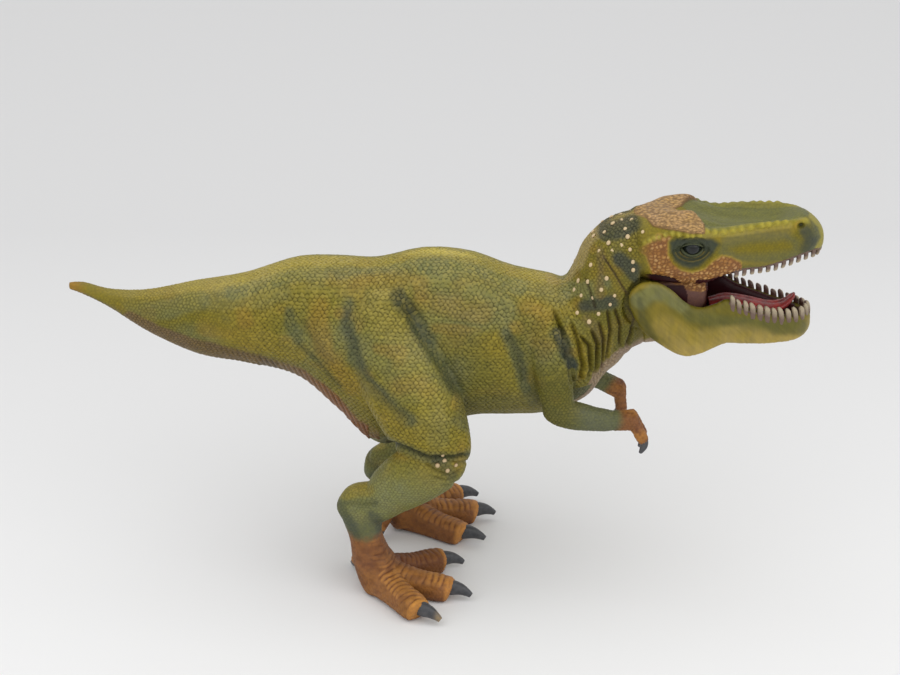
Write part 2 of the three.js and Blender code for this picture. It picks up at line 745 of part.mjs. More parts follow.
// Toe shares: along the toe, top, underside before the sole is cut flat, half width
const toeShares = [
  [-0.12, 1.32, -0.05, 0.72],
  [0.1, 1.52, -0.07, 1.12],
  [0.35, 1.27, -0.07, 1.02],
  [0.6, 1.07, -0.065, 0.98],
  [0.86, 0.99, -0.065, 1.04],
  [0.97, 0.9, -0.06, 0.9],
  [1, 0.78, 0, 0.66],
];
// Claw shares: along the claw, height of its middle, thickness
const clawShares = [
  [0, 0.5, 0.9],
  [0.25, 0.56, 1],
  [0.58, 0.54, 0.78],
  [0.84, 0.42, 0.5],
  [1, 0.3, 0.22],
];
// Each toe's name and its length as a share
const toes = [
  ['outer', 0.98],
  ['middle', 1.02],
  ['inner', 0.98],
];

// Where each leg's joints are, and the angles of its toes out from the foot's own line
const legs = {
  right: {
    side: -1, ankleX: -RIGHT_ANKLE_BACK, ankleZ: RIGHT_ANKLE_HEIGHT, footX: -RIGHT_FOOT_BACK,
    footY: RIGHT_FOOT_SPREAD, yaw: RIGHT_FOOT_YAW, toeAngles: [38, 0, -44],
  },
  left: {
    side: 1, ankleX: -LEFT_ANKLE_BACK, ankleZ: LEFT_ANKLE_HEIGHT, footX: -LEFT_FOOT_BACK,
    footY: LEFT_FOOT_SPREAD, yaw: LEFT_FOOT_YAW, toeAngles: [32, 0, -38],
  },
};

// A point out from the foot's middle at an angle, at a height over the floor
function footPoint(leg, angle, reach, height) {
  const turn = THREE.MathUtils.degToRad(leg.yaw + angle);
  return new THREE.Vector3(leg.footX + reach * Math.cos(turn),
    leg.side * (leg.footY + reach * Math.sin(turn)), height);
}

function toeShape(leg, angle, lengthShare) {
  return loft(toeShares.map(([along, top, bottom, wide]) => {
    const height = ((top + bottom) / 2) * TOE_HEIGHT;
    const p = footPoint(leg, angle, along * lengthShare * TOE_LENGTH, height);
    return section(p.x, p.y, p.z, (wide * TOE_WIDTH) / 2, ((top - bottom) / 2) * TOE_HEIGHT,
      { lowPower: 2.8 });
  }), { sides: 8, steps: 1, turn: 0.5 });
}

function clawShape(leg, angle, reach, grow) {
  return loft(clawShares.map(([along, height, thick]) => {
    const turned = angle - Math.sign(angle) * along * CLAW_SWING;
    const p = footPoint(leg, turned, reach - CLAW_SEAT + along * CLAW_LENGTH, height * TOE_HEIGHT);
    return section(p.x, p.y, p.z, (thick * CLAW_WIDTH) / 2, (thick * CLAW_DEPTH) / 2);
  }), { steps: 1, sides: 6, grow });
}

// Rear toe and rear claw shares: along it, height of its middle, thickness
const rearToeShares = [
  [0, 1.2, 0.9],
  [0.5, 1, 1],
  [0.9, 0.62, 0.95],
  [1, 0.52, 0.6],
];
const rearClawShares = [
  [0, 0.58, 0.85],
  [0.4, 0.36, 0.85],
  [1, 0.1, 0.14],
];

// The rear toe leaves the instep on the inner side and points back to the floor
function rearToe(leg) {
  return loft(rearToeShares.map(([along, height, thick]) => {
    const reach = REAR_TOE_ROOT + along * REAR_TOE_LENGTH;
    const p = footPoint(leg, REAR_TOE_ANGLE, reach, height * TOE_HEIGHT);
    const half = (thick * REAR_TOE_WIDTH) / 2;
    return section(p.x, p.y, p.z, half, half);
  }), { sides: 8, steps: 1 });
}

function rearClaw(leg, grow) {
  return loft(rearClawShares.map(([along, height, thick]) => {
    const start = REAR_TOE_ROOT + REAR_TOE_LENGTH - CLAW_SEAT;
    const reach = start + along * REAR_CLAW_LENGTH;
    const p = footPoint(leg, REAR_TOE_ANGLE, reach, height * TOE_HEIGHT);
    const half = (thick * CLAW_WIDTH) / 2;
    return section(p.x, p.y, p.z, half, half);
  }), { steps: 1, sides: 6, grow });
}

const underFloor = solid(new THREE.BoxGeometry(1, 1, 1)
  .scale(TAIL_LENGTH * 2, TAIL_LENGTH * 2, OVERRUN).translate(0, 0, -OVERRUN / 2));

function legPieces(name) {
  const leg = legs[name];
  const hip = new THREE.Vector3(-THIGH_TOP_BACK, (leg.side * THIGH_TOP_SPREAD) / 2, THIGH_TOP_HEIGHT);
  const knee = new THREE.Vector3(KNEE_FORWARD, (leg.side * KNEE_SPREAD) / 2, KNEE_HEIGHT);
  const ankle = new THREE.Vector3(leg.ankleX, leg.side * leg.footY, leg.ankleZ);
  const foot = footPoint(leg, 0, 0, FOOT_HEIGHT);
  const flesh = join([
    limb(hip, knee, THIGH_DEPTH, THIGH_WIDTH, thighShares, { sides: 16 }),
    limb(knee, ankle, SHANK_DEPTH, SHANK_WIDTH, shankShares, { sides: 12 }),
    limb(ankle, foot, INSTEP_DEPTH, INSTEP_WIDTH, instepShares, { sides: 12 }),
    ...toes.map(([, length], i) => toeShape(leg, leg.toeAngles[i], length)),
    rearToe(leg),
  ]);
  const claws = toes.map(([toeName, length], i) => [toeName, (grow) =>
    clawShape(leg, leg.toeAngles[i], length * TOE_LENGTH, grow)]);
  claws.push(['rear', (grow) => rearClaw(leg, grow)]);
  const pockets = claws.map(([, make]) => make(SEAT_GAP));
  const peg = hipPeg(leg.side, 0);
  const shape = cut(flesh, [trunkSkin(SEAT_GAP), underFloor, ...pockets]).add(peg);
  return [
    piece(`${name}_leg`, shape, OLIVE),
    ...claws.map(([toeName, make]) =>
      piece(`${name}_${toeName}_toe_claw`, cut(make(0), [underFloor]), SLATE)),
  ];
}

function hipPeg(side, grow) {
  const surface = (side * HIP_WIDTH) / 2;
  return barAcross(0, HIP_PEG_HEIGHT, HIP_PEG_DIAMETER + 2 * grow,
    surface - side * (HIP_PEG_DEPTH + grow), surface + side * HIP_PEG_REACH);
}

// Arms

const upperArmShares = [
  [-0.12, 0, 0.4, 0.4],
  [0, 0, 0.82, 0.8],
  [0.25, 0, 1, 1],
  [0.55, 0, 0.96, 0.98],
  [0.85, 0, 0.84, 0.9],
  [1.02, 0, 0.76, 0.8],
  [1.13, 0, 0.5, 0.5],
  [1.17, 0, 0.25, 0.25],
];
const forearmShares = [
  [-0.3, -0.1, 0.35, 0.3],
  [-0.2, -0.1, 0.7, 0.6],
  [0, -0.1, 0.98, 0.9],
  [0.35, -0.12, 1.02, 0.95],
  [0.7, -0.1, 0.86, 0.86],
  [1, 0, 0.74, 0.78],
  [1.1, 0, 0.5, 0.5],
];
const handShares = [
  [-0.15, 0, 0.6, 0.6],
  [0, 0, 0.95, 0.95],
  [0.5, 0, 0.98, 1.15],
  [0.9, 0, 0.9, 1.2],
  [1.08, 0, 0.5, 0.7],
];

const arms = {
  right: {
    side: -1, elbowZ: RIGHT_ELBOW_HEIGHT, wristX: RIGHT_WRIST_FORWARD,
    wristY: RIGHT_WRIST_SPREAD, wristZ: RIGHT_ELBOW_HEIGHT - RIGHT_WRIST_DROP,
    handPitch: 2, fingerPitch: -62, clawPitch: -104,
  },
  left: {
    side: 1, elbowZ: LEFT_ELBOW_HEIGHT, wristX: LEFT_WRIST_FORWARD,
    wristY: LEFT_WRIST_SPREAD, wristZ: LEFT_ELBOW_HEIGHT - LEFT_WRIST_DROP,
    handPitch: -28, fingerPitch: -85, clawPitch: -128,
  },
};

const fingerShares = [
  [-0.3, 0, 0.6, 0.6],
  [-0.1, 0, 0.95, 0.9],
  [0.35, 0, 0.9, 0.9],
  [0.75, 0, 0.95, 0.92],
  [1, 0, 0.75, 0.75],
];
// Finger claw shares: thickness at its root, at the finger's end, half way and at its tip
const fingerClawShares = [0.95, 1, 0.8, 0.15];
const CLAW_BEND_SHARE = 0.35;

// A step ahead and up at a pitch in degrees
function stepAt(from, length, pitch) {
  const turn = THREE.MathUtils.degToRad(pitch);
  return new THREE.Vector3(from.x + length * Math.cos(turn), from.y, from.z + length * Math.sin(turn));
}

function fingerPoints(arm, sideways) {
  const wrist = new THREE.Vector3(arm.wristX, arm.side * arm.wristY, arm.wristZ);
  const knuckle = stepAt(wrist, KNUCKLE_FORWARD, arm.handPitch);
  knuckle.y += (sideways * FINGER_SPREAD) / 2;
  const tip = stepAt(knuckle, FINGER_LENGTH, arm.fingerPitch);
  const clawTip = stepAt(tip, FINGER_CLAW_LENGTH - FINGER_CLAW_SEAT, arm.clawPitch);
  return [knuckle, tip, clawTip];
}

function finger(arm, sideways) {
  const [knuckle, tip] = fingerPoints(arm, sideways);
  return limb(knuckle, tip, FINGER_THICKNESS, FINGER_THICKNESS, fingerShares, { sides: 6 });
}

function fingerClaw(arm, sideways, grow) {
  const [knuckle, tip, clawTip] = fingerPoints(arm, sideways);
  const back = new THREE.Vector3().subVectors(knuckle, tip).setLength(FINGER_CLAW_SEAT);
  const root = tip.clone().add(back);
  const middle = tip.clone().lerp(clawTip, CLAW_BEND_SHARE);
  middle.addScaledVector(back, -CLAW_BEND_SHARE);
  return loft([root, tip, middle, clawTip].map((p, i) => {
    const half = (fingerClawShares[i] * FINGER_CLAW_WIDTH) / 2;
    return section(p.x, p.y, p.z, half, half);
  }), { steps: 1, sides: 6, grow });
}

function shoulderPeg(side, grow) {
  const surface = (side * CHEST_WIDTH) / 2;
  const height = SHOULDER_HEIGHT - SHOULDER_PEG_DROP;
  return barAcross(SHOULDER_FORWARD, height, SHOULDER_PEG_DIAMETER + 2 * grow,
    surface - side * (SHOULDER_PEG_DEPTH + grow), surface);
}

function armPieces(name) {
  const arm = arms[name];
  const shoulder = new THREE.Vector3(SHOULDER_FORWARD, (arm.side * SHOULDER_SPREAD) / 2,
    SHOULDER_HEIGHT);
  const elbow = new THREE.Vector3(ELBOW_FORWARD, (arm.side * ELBOW_SPREAD) / 2, arm.elbowZ);
  const wrist = new THREE.Vector3(arm.wristX, arm.side * arm.wristY, arm.wristZ);
  const knuckles = stepAt(wrist, HAND_LENGTH, arm.handPitch);
  const fingers = [['outer', arm.side], ['inner', -arm.side]];
  const flesh = join([
    limb(shoulder, elbow, UPPER_ARM_DEPTH, UPPER_ARM_WIDTH, upperArmShares, { sides: 10 }),
    limb(elbow, wrist, FOREARM_THICKNESS, FOREARM_THICKNESS, forearmShares, { sides: 10 }),
    limb(wrist, knuckles, HAND_THICKNESS, HAND_THICKNESS, handShares, { sides: 8 }),
    ...fingers.map(([, sideways]) => finger(arm, sideways)),
  ]);
  const pockets = fingers.map(([, sideways]) => fingerClaw(arm, sideways, SEAT_GAP));
  const shape = cut(flesh, [trunkSkin(SEAT_GAP), ...pockets]).add(shoulderPeg(arm.side, 0));
  return [
    piece(`${name}_arm`, shape, OLIVE),
    ...fingers.map(([fingerName, sideways]) =>
      piece(`${name}_${fingerName}_finger_claw`, fingerClaw(arm, sideways, 0), SLATE)),
  ];
}

// The whole figure

function bodyPieces() {
  const sides = [-1, 1];
  const trunk = cut(trunkSkin(0).add(neckPlug(0)), [
    cavity(),
    ...sides.map((side) => hipPeg(side, SEAT_GAP)),
    ...sides.map((side) => shoulderPeg(side, SEAT_GAP)),
    ...jawRecesses(),
  ]);
  const gums = toothRow(upperGumPath(0), -1, upperToothShares);
  const skull = cut(join([
    loft(skullStations(), { steps: 1, sides: 24, frame: 'upright' }),
    ...sides.map(browRidge),
  ]), [
    neckPlug(SEAT_GAP),
    hingeBlock(SEAT_GAP),
    palate(),
    gumBar(upperGumPath(SEAT_GAP)),
    ...jawRecesses(),
    ...sides.map((side) => eyePit(side)),
    ...sides.map((side) => eyeBall(side, SEAT_GAP)),
    ...sides.map((side) => nostril(side)),
  ]);
  const pinHole = barAcross(pivot.x, pivot.z, PIN_DIAMETER + 2 * SEAT_GAP, -OVERRUN, OVERRUN);
  const lining = cut(hingeBlock(0), [pinHole]);
  return [
    piece('trunk', trunk, OLIVE),
    piece('skull', skull, OLIVE),
    piece('mouth_lining', lining, MAROON),
    piece('upper_teeth', gums, IVORY),
    piece('right_eye', eyeBall(-1, 0), EYE_BLACK),
    piece('left_eye', eyeBall(1, 0), EYE_BLACK),
    piece('jaw_pin', barAcross(pivot.x, pivot.z, PIN_DIAMETER, -PIN_LENGTH / 2, PIN_LENGTH / 2),
      STEEL),
  ];
}

function jawPieces() {
  const bone = loft(mandibleStations(), { steps: 1, sides: 12, frame: 'plan' }).add(jawFloor());
  const jaw = cut(bone, [
    barAcross(pivot.x, pivot.z, PIN_DIAMETER + 2 * SEAT_GAP, -PIN_LENGTH / 2 - SEAT_GAP,
      PIN_LENGTH / 2 + SEAT_GAP),
    gumBar(lowerGumPath(SEAT_GAP)),
    tongueShape(SEAT_GAP),
  ]);
  return [
    piece('lower_jaw', jaw, JAW_GREEN),
    piece('lower_teeth', toothRow(lowerGumPath(0), 1, lowerToothShares), IVORY),
    piece('tongue', tongueShape(0), TONGUE_RED),
  ];
}

const figure = new THREE.Group();
figure.add(...bodyPieces(), ...jawPieces());
for (const name of ['right', 'left']) figure.add(...legPieces(name), ...armPieces(name));

// The frame's origin is on the floor under the middle of the figure's outline
const extent = new THREE.Box3().setFromObject(figure);
const middle = extent.getCenter(new THREE.Vector3());
figure.position.set(-middle.x, -middle.y, -extent.min.z);
const framed = new THREE.Group();
framed.add(figure);

export default framed;
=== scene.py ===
import math

import bpy
import numpy as np
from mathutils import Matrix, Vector


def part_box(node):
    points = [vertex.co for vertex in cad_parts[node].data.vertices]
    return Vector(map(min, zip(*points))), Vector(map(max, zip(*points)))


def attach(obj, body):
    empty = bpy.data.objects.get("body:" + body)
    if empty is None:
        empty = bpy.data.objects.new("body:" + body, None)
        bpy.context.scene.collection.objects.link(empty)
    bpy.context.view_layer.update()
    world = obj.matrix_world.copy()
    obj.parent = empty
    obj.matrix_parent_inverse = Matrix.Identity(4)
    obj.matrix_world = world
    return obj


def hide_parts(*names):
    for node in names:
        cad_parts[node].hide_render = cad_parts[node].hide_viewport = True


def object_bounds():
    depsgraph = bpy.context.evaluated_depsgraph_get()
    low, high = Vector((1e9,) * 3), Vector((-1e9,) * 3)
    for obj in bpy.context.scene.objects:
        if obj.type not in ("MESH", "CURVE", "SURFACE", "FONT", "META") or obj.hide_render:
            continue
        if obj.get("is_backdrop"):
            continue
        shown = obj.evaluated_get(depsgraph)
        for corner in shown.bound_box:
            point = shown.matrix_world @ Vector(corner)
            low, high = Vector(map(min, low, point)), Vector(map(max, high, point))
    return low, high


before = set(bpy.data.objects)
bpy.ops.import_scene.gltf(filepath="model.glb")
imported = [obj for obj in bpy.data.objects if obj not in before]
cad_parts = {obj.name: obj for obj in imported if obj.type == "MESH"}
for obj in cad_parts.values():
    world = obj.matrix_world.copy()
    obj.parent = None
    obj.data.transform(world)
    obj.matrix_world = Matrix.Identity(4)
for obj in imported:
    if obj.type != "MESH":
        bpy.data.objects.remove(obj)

bl_info = {
    "name": "Toy dinosaur figure",
    "version": (1, 0, 0),
    "blender": (4, 5, 0),
    "location": "View3D > Sidebar > Figure",
    "description": "Dresses the packed figure in its moulded, painted skin",
    "category": "Add Mesh",
}

# All shapes are worked out in millimetres, with the hip at X = 0, the mid-plane at Y = 0 and the soles
# on Z = 0, then put into the shared frame in metres.
MM = 0.001
UP, MID = np.array([0.0, 0.0, 1.0]), np.array([0.0, 1.0, 0.0])

# --- sizes of the figure, in millimetres
HIP_HEIGHT, HIP_DEPTH, HIP_WIDTH = 87.0, 71.0, 48.0
TAIL_LENGTH, TAIL_RISE = 121.0, 25.0
BARREL_LENGTH, CHEST_DEPTH, CHEST_WIDTH = 63.0, 61.0, 47.0
NECK_REACH, NECK_RISE, NECK_DEPTH, NECK_WIDTH, NECK_LEAN = 23.5, 28.7, 52.0, 33.0, 5.5
SKULL_LENGTH, SKULL_DEPTH, SKULL_WIDTH, SKULL_LIFT = 67.3, 29.2, 32.8, 14.1
LIP_WALL, PALATE_HOLLOW, SEAT_GAP = 2.8, 3.0, 0.3
BROW_THICKNESS = 5.6
EYE_DIAMETER, EYE_FORWARD, EYE_LIFT, EYE_SPREAD = 6.8, 18.4, 3.6, 26.4
EYE_PIT_LENGTH, EYE_PIT_HEIGHT, EYE_PIT_DEPTH, EYE_PIT_DROP = 16.0, 11.0, 3.4, 2.75
NOSTRIL_FORWARD, NOSTRIL_LIFT, NOSTRIL_DIAMETER = 57.6, 9.6, 3.4
PIVOT_FORWARD, PIVOT_DROP, RECESS_DIAMETER, RECESS_SPREAD = 5.2, 4.4, 23.6, 24.2
BLOCK_WIDTH, BLOCK_REACH, BLOCK_HEIGHT, BLOCK_DROP = 22.8, 23.0, 29.0, 10.8
JAW_REACH, JAW_DEPTH, JAW_SPREAD, JAW_WALL, FLOOR_THICKNESS = 56.2, 28.0, 30.8, 6.0, 6.0
TONGUE_LENGTH, TONGUE_WIDTH, TONGUE_THICKNESS = 31.0, 9.4, 4.6
TONGUE_ROOT_FORWARD, TONGUE_ROOT_DROP = 21.2, 8.4
GUM_HEIGHT, TOOTH_PITCH = 2.4, 2.9
THIGH_TOP_BACK, THIGH_TOP_HEIGHT, THIGH_TOP_SPREAD = 11.0, 112.5, 25.0
THIGH_DEPTH, THIGH_WIDTH = 32.0, 25.0
KNEE_FORWARD, KNEE_HEIGHT, KNEE_SPREAD = 16.0, 55.0, 61.0
SHANK_DEPTH, SHANK_WIDTH, INSTEP_DEPTH, INSTEP_WIDTH = 22.0, 17.0, 15.0, 13.0
FOOT_HEIGHT, TOE_LENGTH, TOE_WIDTH, TOE_HEIGHT = 6.0, 28.5, 10.2, 8.8
REAR_TOE_LENGTH, REAR_TOE_WIDTH, REAR_TOE_ROOT, REAR_TOE_ANGLE = 11.0, 5.4, 3.85, -135.0
CLAW_LENGTH, CLAW_WIDTH, CLAW_DEPTH, CLAW_SEAT, CLAW_SWING = 10.2, 4.8, 6.0, 2.2, 6.0
REAR_CLAW_LENGTH = 7.4
SHOULDER_FORWARD, SHOULDER_HEIGHT, SHOULDER_SPREAD = 53.0, 100.0, 40.0
ELBOW_FORWARD, ELBOW_SPREAD, WRIST_FORWARD = 57.5, 49.0, 76.0
UPPER_ARM_DEPTH, UPPER_ARM_WIDTH, FOREARM_THICKNESS = 14.0, 11.0, 9.8
HAND_LENGTH, KNUCKLE_FORWARD, HAND_THICKNESS = 9.5, 8.55, 7.0
FINGER_LENGTH, FINGER_THICKNESS, FINGER_SPREAD = 8.6, 4.4, 5.0
FINGER_CLAW_LENGTH, FINGER_CLAW_WIDTH, FINGER_CLAW_SEAT, CLAW_BEND_SHARE = 6.6, 3.0, 1.8, 0.35

LEGS = {
    "right": {"side": -1, "ankle": (-15.0, 35.0), "foot": (-10.0, 26.5), "yaw": 15.0,
              "toes": (38.0, 0.0, -44.0), "rust_below": 25.0},
    "left": {"side": 1, "ankle": (-7.0, 26.5), "foot": (-1.0, 20.5), "yaw": 7.0,
             "toes": (32.0, 0.0, -38.0), "rust_below": 19.0},
}
TOES = (("outer", 0.98), ("middle", 1.02), ("inner", 0.98))
ARMS = {
    "right": {"side": -1, "elbow": 73.6, "wrist": (24.0, 69.6), "pitch": (2.0, -62.0, -104.0),
              "rust_from": 3.0},
    "left": {"side": 1, "elbow": 76.5, "wrist": (21.0, 64.0), "pitch": (-28.0, -85.0, -128.0),
             "rust_from": 4.0},
}

# Tail: along, rise, half depth, half width, wedge of the underside
TAIL_SHARES = (
    (1, 1.03, 0.035, 0.05, 2.2), (0.955, 0.985, 0.06, 0.11, 2.2), (0.88, 0.83, 0.09, 0.165, 2.1),
    (0.765, 0.625, 0.22, 0.3, 2), (0.617, 0.52, 0.385, 0.5, 1.9), (0.465, 0.51, 0.47, 0.66, 1.8),
    (0.313, 0.51, 0.625, 0.82, 1.7), (0.194, 0.24, 0.83, 0.94, 1.6), (0.069, -0.07, 1.035, 1, 1.6))
# Barrel: along, rise, half depth, half width
BARREL_SHARES = ((0.14, 0.06, 1.155, 0.94), (0.4, 0.105, 1.01, 1), (0.64, 0.066, 0.9, 1),
                 (0.855, 0.047, 0.842, 0.92))
# Neck: along, rise, half depth, half width, lean, taper to the throat
NECK_SHARES = (
    (0.04, 0.18, 0.86, 1.2, 2, 0), (0.26, 0.435, 0.83, 1.07, 2.8, 0.05),
    (0.44, 0.665, 0.925, 1, 2.8, 0.1), (0.7, 0.9, 0.97, 0.93, 1.8, 0.15), (1, 1, 0.985, 0.84, 1, 0.2))
# Skull: along, rise, half depth, half width, lean, squareness above and below
SKULL_SHARES = (
    (0, 0, 0.815, 0.86, 1, 2.2, 2.4), (0.07, 0, 0.895, 0.96, 0.6, 2.3, 2.5),
    (0.16, 0.022, 0.94, 1, 0.3, 2.4, 2.6), (0.26, 0.045, 0.975, 1, 0, 2.5, 3),
    (0.36, 0.025, 0.89, 0.95, 0, 2.6, 3.6), (0.45, 0.043, 0.72, 0.88, 0, 2.8, 4.5),
    (0.55, 0.073, 0.66, 0.81, 0, 2.9, 5), (0.67, 0.09, 0.64, 0.745, 0, 2.9, 5),
    (0.785, 0.138, 0.605, 0.67, 0, 2.8, 4.5), (0.885, 0.162, 0.51, 0.56, 0, 2.6, 4),
    (0.95, 0.128, 0.4, 0.43, 0, 2.4, 3.2), (0.987, 0.09, 0.27, 0.29, 0, 2.2, 2.4),
    (1, 0.075, 0.12, 0.12, 0, 2.2, 2.2))
# Brow and snout ridge: along, out, up, thickness
RIDGE_SHARES = (
    (0.09, 0.68, 0.62, 0.3), (0.17, 0.82, 0.59, 0.75), (0.27, 0.84, 0.61, 0.95),
    (0.36, 0.8, 0.61, 0.85), (0.45, 0.78, 0.73, 0.62), (0.58, 0.78, 0.84, 0.56),
    (0.7, 0.76, 0.84, 0.54), (0.81, 0.72, 0.8, 0.5), (0.88, 0.62, 0.74, 0.3))
PALATE_SHARES = ((0.4, 1), (0.5, 1), (0.62, 1), (0.74, 1), (0.84, 0.97), (0.9, 0.8))
# Hinge block: along, half width, top, bottom
BLOCK_SHARES = (
    (0, 1, 0.5, -0.46), (0.28, 1, 0.5, -0.43), (0.37, 1, 0.5, -0.4), (0.4, 1, 0.5, -0.26),
    (0.6, 0.98, 0.5, -0.2), (0.78, 0.94, 0.5, -0.12), (0.94, 0.88, 0.49, 0), (1, 0.84, 0.47, 0.07))
# Mandible: forward, out, top, bottom, wall
MANDIBLE_SHARES = (
    (-0.172, 0.97, 0.15, 0.03, 0.4), (-0.145, 0.98, 0.25, -0.11, 0.74),
    (-0.075, 0.99, 0.33, -0.35, 0.92), (0.02, 1, 0.315, -0.51, 0.97), (0.11, 0.99, 0.2, -0.635, 1),
    (0.2, 0.965, 0.035, -0.715, 1), (0.29, 0.92, -0.035, -0.7, 0.97),
    (0.38, 0.85, -0.01, -0.635, 0.93), (0.47, 0.77, 0.045, -0.58, 0.88),
    (0.58, 0.69, -0.07, -0.605, 0.84), (0.71, 0.61, -0.16, -0.625, 0.84),
    (0.835, 0.5, -0.235, -0.632, 0.84), (0.925, 0.37, -0.265, -0.63, 0.84),
    (0.98, 0.19, -0.275, -0.61, 0.84))
CHIN_SHARES = (1, 0, -0.275, -0.6, 0.84)
# Mouth floor: forward, out, top, thickness
FLOOR_SHARES = (
    (0.12, 0.84, -0.53, 0.5), (0.22, 0.86, -0.47, 0.75), (0.31, 0.82, -0.43, 0.9),
    (0.42, 0.74, -0.32, 1.1), (0.56, 0.62, -0.3, 1.1), (0.72, 0.53, -0.33, 1),
    (0.86, 0.4, -0.37, 0.9), (0.94, 0.2, -0.4, 0.7))
# Tongue: along, rise, half width, half thickness
TONGUE_SHARES = (
    (0, 0.6, 0.8, 0.8), (0.2, 0.85, 1, 1), (0.45, 0.6, 1, 1), (0.7, 0.3, 0.9, 0.85),
    (0.87, 0.55, 0.72, 0.6), (0.97, 1.15, 0.5, 0.4), (1, 1.5, 0.2, 0.2))
# Limbs: along, shift to the front, half depth, half width
THIGH_SHARES = (
    (-0.03, 0, 0.4, 0.3), (0.03, 0, 0.74, 0.52), (0.12, 0.01, 0.89, 0.68), (0.25, 0.02, 0.98, 0.86),
    (0.4, 0.01, 1.01, 0.97), (0.58, 0.01, 1, 1), (0.76, 0.03, 0.92, 0.94), (0.92, 0.05, 0.72, 0.79),
    (1.005, -0.02, 0.5, 0.6), (1.06, -0.02, 0.25, 0.3))
SHANK_SHARES = (
    (-0.2, 0, 0.3, 0.35), (-0.1, 0, 0.62, 0.75), (0.05, -0.05, 0.85, 0.98), (0.3, -0.13, 0.98, 1.06),
    (0.58, -0.05, 0.88, 1), (0.78, 0.1, 0.71, 0.85), (1, -0.06, 0.79, 0.8), (1.14, -0.12, 0.54, 0.6),
    (1.21, -0.12, 0.26, 0.3))
INSTEP_SHARES = (
    (-0.18, 0, 0.5, 0.5), (-0.05, 0, 0.9, 0.85), (0.12, 0, 1, 1), (0.4, -0.06, 0.8, 0.95),
    (0.7, -0.01, 0.93, 1.1), (0.95, 0.2, 1.07, 1.3), (1.15, 0.3, 1, 1.3))
UPPER_ARM_SHARES = (
    (-0.12, 0, 0.4, 0.4), (0, 0, 0.82, 0.8), (0.25, 0, 1, 1), (0.55, 0, 0.96, 0.98),
    (0.85, 0, 0.84, 0.9), (1.02, 0, 0.76, 0.8), (1.13, 0, 0.5, 0.5), (1.17, 0, 0.25, 0.25))
FOREARM_SHARES = (
    (-0.3, -0.1, 0.35, 0.3), (-0.2, -0.1, 0.7, 0.6), (0, -0.1, 0.98, 0.9), (0.35, -0.12, 1.02, 0.95),
    (0.7, -0.1, 0.86, 0.86), (1, 0, 0.74, 0.78), (1.1, 0, 0.5, 0.5))
HAND_SHARES = (
    (-0.15, 0, 0.6, 0.6), (0, 0, 0.95, 0.95), (0.5, 0, 0.98, 1.15), (0.9, 0, 0.9, 1.2),
    (1.08, 0, 0.5, 0.7))
FINGER_SHARES = ((-0.3, 0, 0.6, 0.6), (-0.1, 0, 0.95, 0.9), (0.35, 0, 0.9, 0.9),
                 (0.75, 0, 0.95, 0.92), (1, 0, 0.75, 0.75))
# Toe: along, top, underside, half width
TOE_SHARES = (
    (-0.12, 1.32, -0.05, 0.72), (0.1, 1.52, -0.07, 1.12), (0.35, 1.27, -0.07, 1.02),
    (0.6, 1.07, -0.065, 0.98), (0.86, 0.99, -0.065, 1.04), (0.97, 0.9, -0.06, 0.9), (1, 0.78, 0, 0.66))
REAR_TOE_SHARES = ((0, 1.2, 0.9), (0.5, 1, 1), (0.9, 0.62, 0.95), (1, 0.52, 0.6))
# Claws: along, height of the middle, thickness
CLAW_SHARES = ((0, 0.5, 0.9), (0.25, 0.56, 1), (0.58, 0.54, 0.78), (0.84, 0.42, 0.52), (1, 0.3, 0.34))
REAR_CLAW_SHARES = ((0, 0.58, 0.85), (0.4, 0.36, 0.85), (1, 0.1, 0.14))
FINGER_CLAW_SHARES = (0.98, 1.05, 0.9, 0.42)
UPPER_GUM_SHARES = (0.5, 0.59, 0.68, 0.77, 0.85, 0.91, 0.95)
UPPER_FRONT_SHARE, UPPER_SEAT_SHARE = 0.978, 0.3
LOWER_OUT_SHARE, LOWER_SEAT_SHARE, FIRST_TOOTHED = 0.1, 0.34, 8
PALATE_FROM, PALATE_TO, NOSTRIL_DEPTH, TOOTH_SQUARE = 0.38, 0.92, 1.6, 0.62

# --- fine forms that only the skin has
# Scales: length, height, seed and jitter
BODY_SCALES, FINE_SCALES = (1.78, 1.2, 11, 0.44), (1.32, 1.0, 12, 0.5)
RIB_PITCH, RIB_HEIGHT, SCUTE_PITCH, CROWN_HOLLOW = 2.2, 0.38, 1.9, 3.0
# How far an open end is turned in, and how far the skin of the soles stays off the floor
LIP_DEPTH, OFF_FLOOR = 1.5, 0.03
JAW_GRID, JAW_QUICK_GRID, QUICK_GRID = 0.38, 0.8, 0.85
# The scale height, in metres, at which the relief is as it is worked out here
DRAWN_HEIGHT = 0.34e-3
# Where the head's own relief and paint begin along X, and the value of "within" at the crest's edge
HEAD_FROM, CREST_EDGE = 78, 20
# How near to its pixel a stud or knob is placed, and the claw with a worn tip
PIXEL_REACH, WORN_CLAW = 1.6, ("right", "outer")
# Studs: least and greatest radius, height as a share of it, and how deep the foot sinks in
STUD_LEAST, STUD_MOST, STUD_HEIGHT, STUD_SUNK = 0.6, 0.85, 0.62, 0.35
# Teeth: where the tip begins to round off, as a share of the height, and how far it leans back
TIP_FROM, TIP_BACK = 0.55, 0.16
# What the dark paint and painted shade between the scales take off red, green and blue, and the shade between
# grains
WASH_AND_SHADE, GRAIN_SHADE = np.array([0.6, 0.6, 0.64]), (0.12, 0.07, 0.03)
# Painted highlights along the top of the back, which run over its middle
BACK_PAINTS = ("sun", "top_highlight")

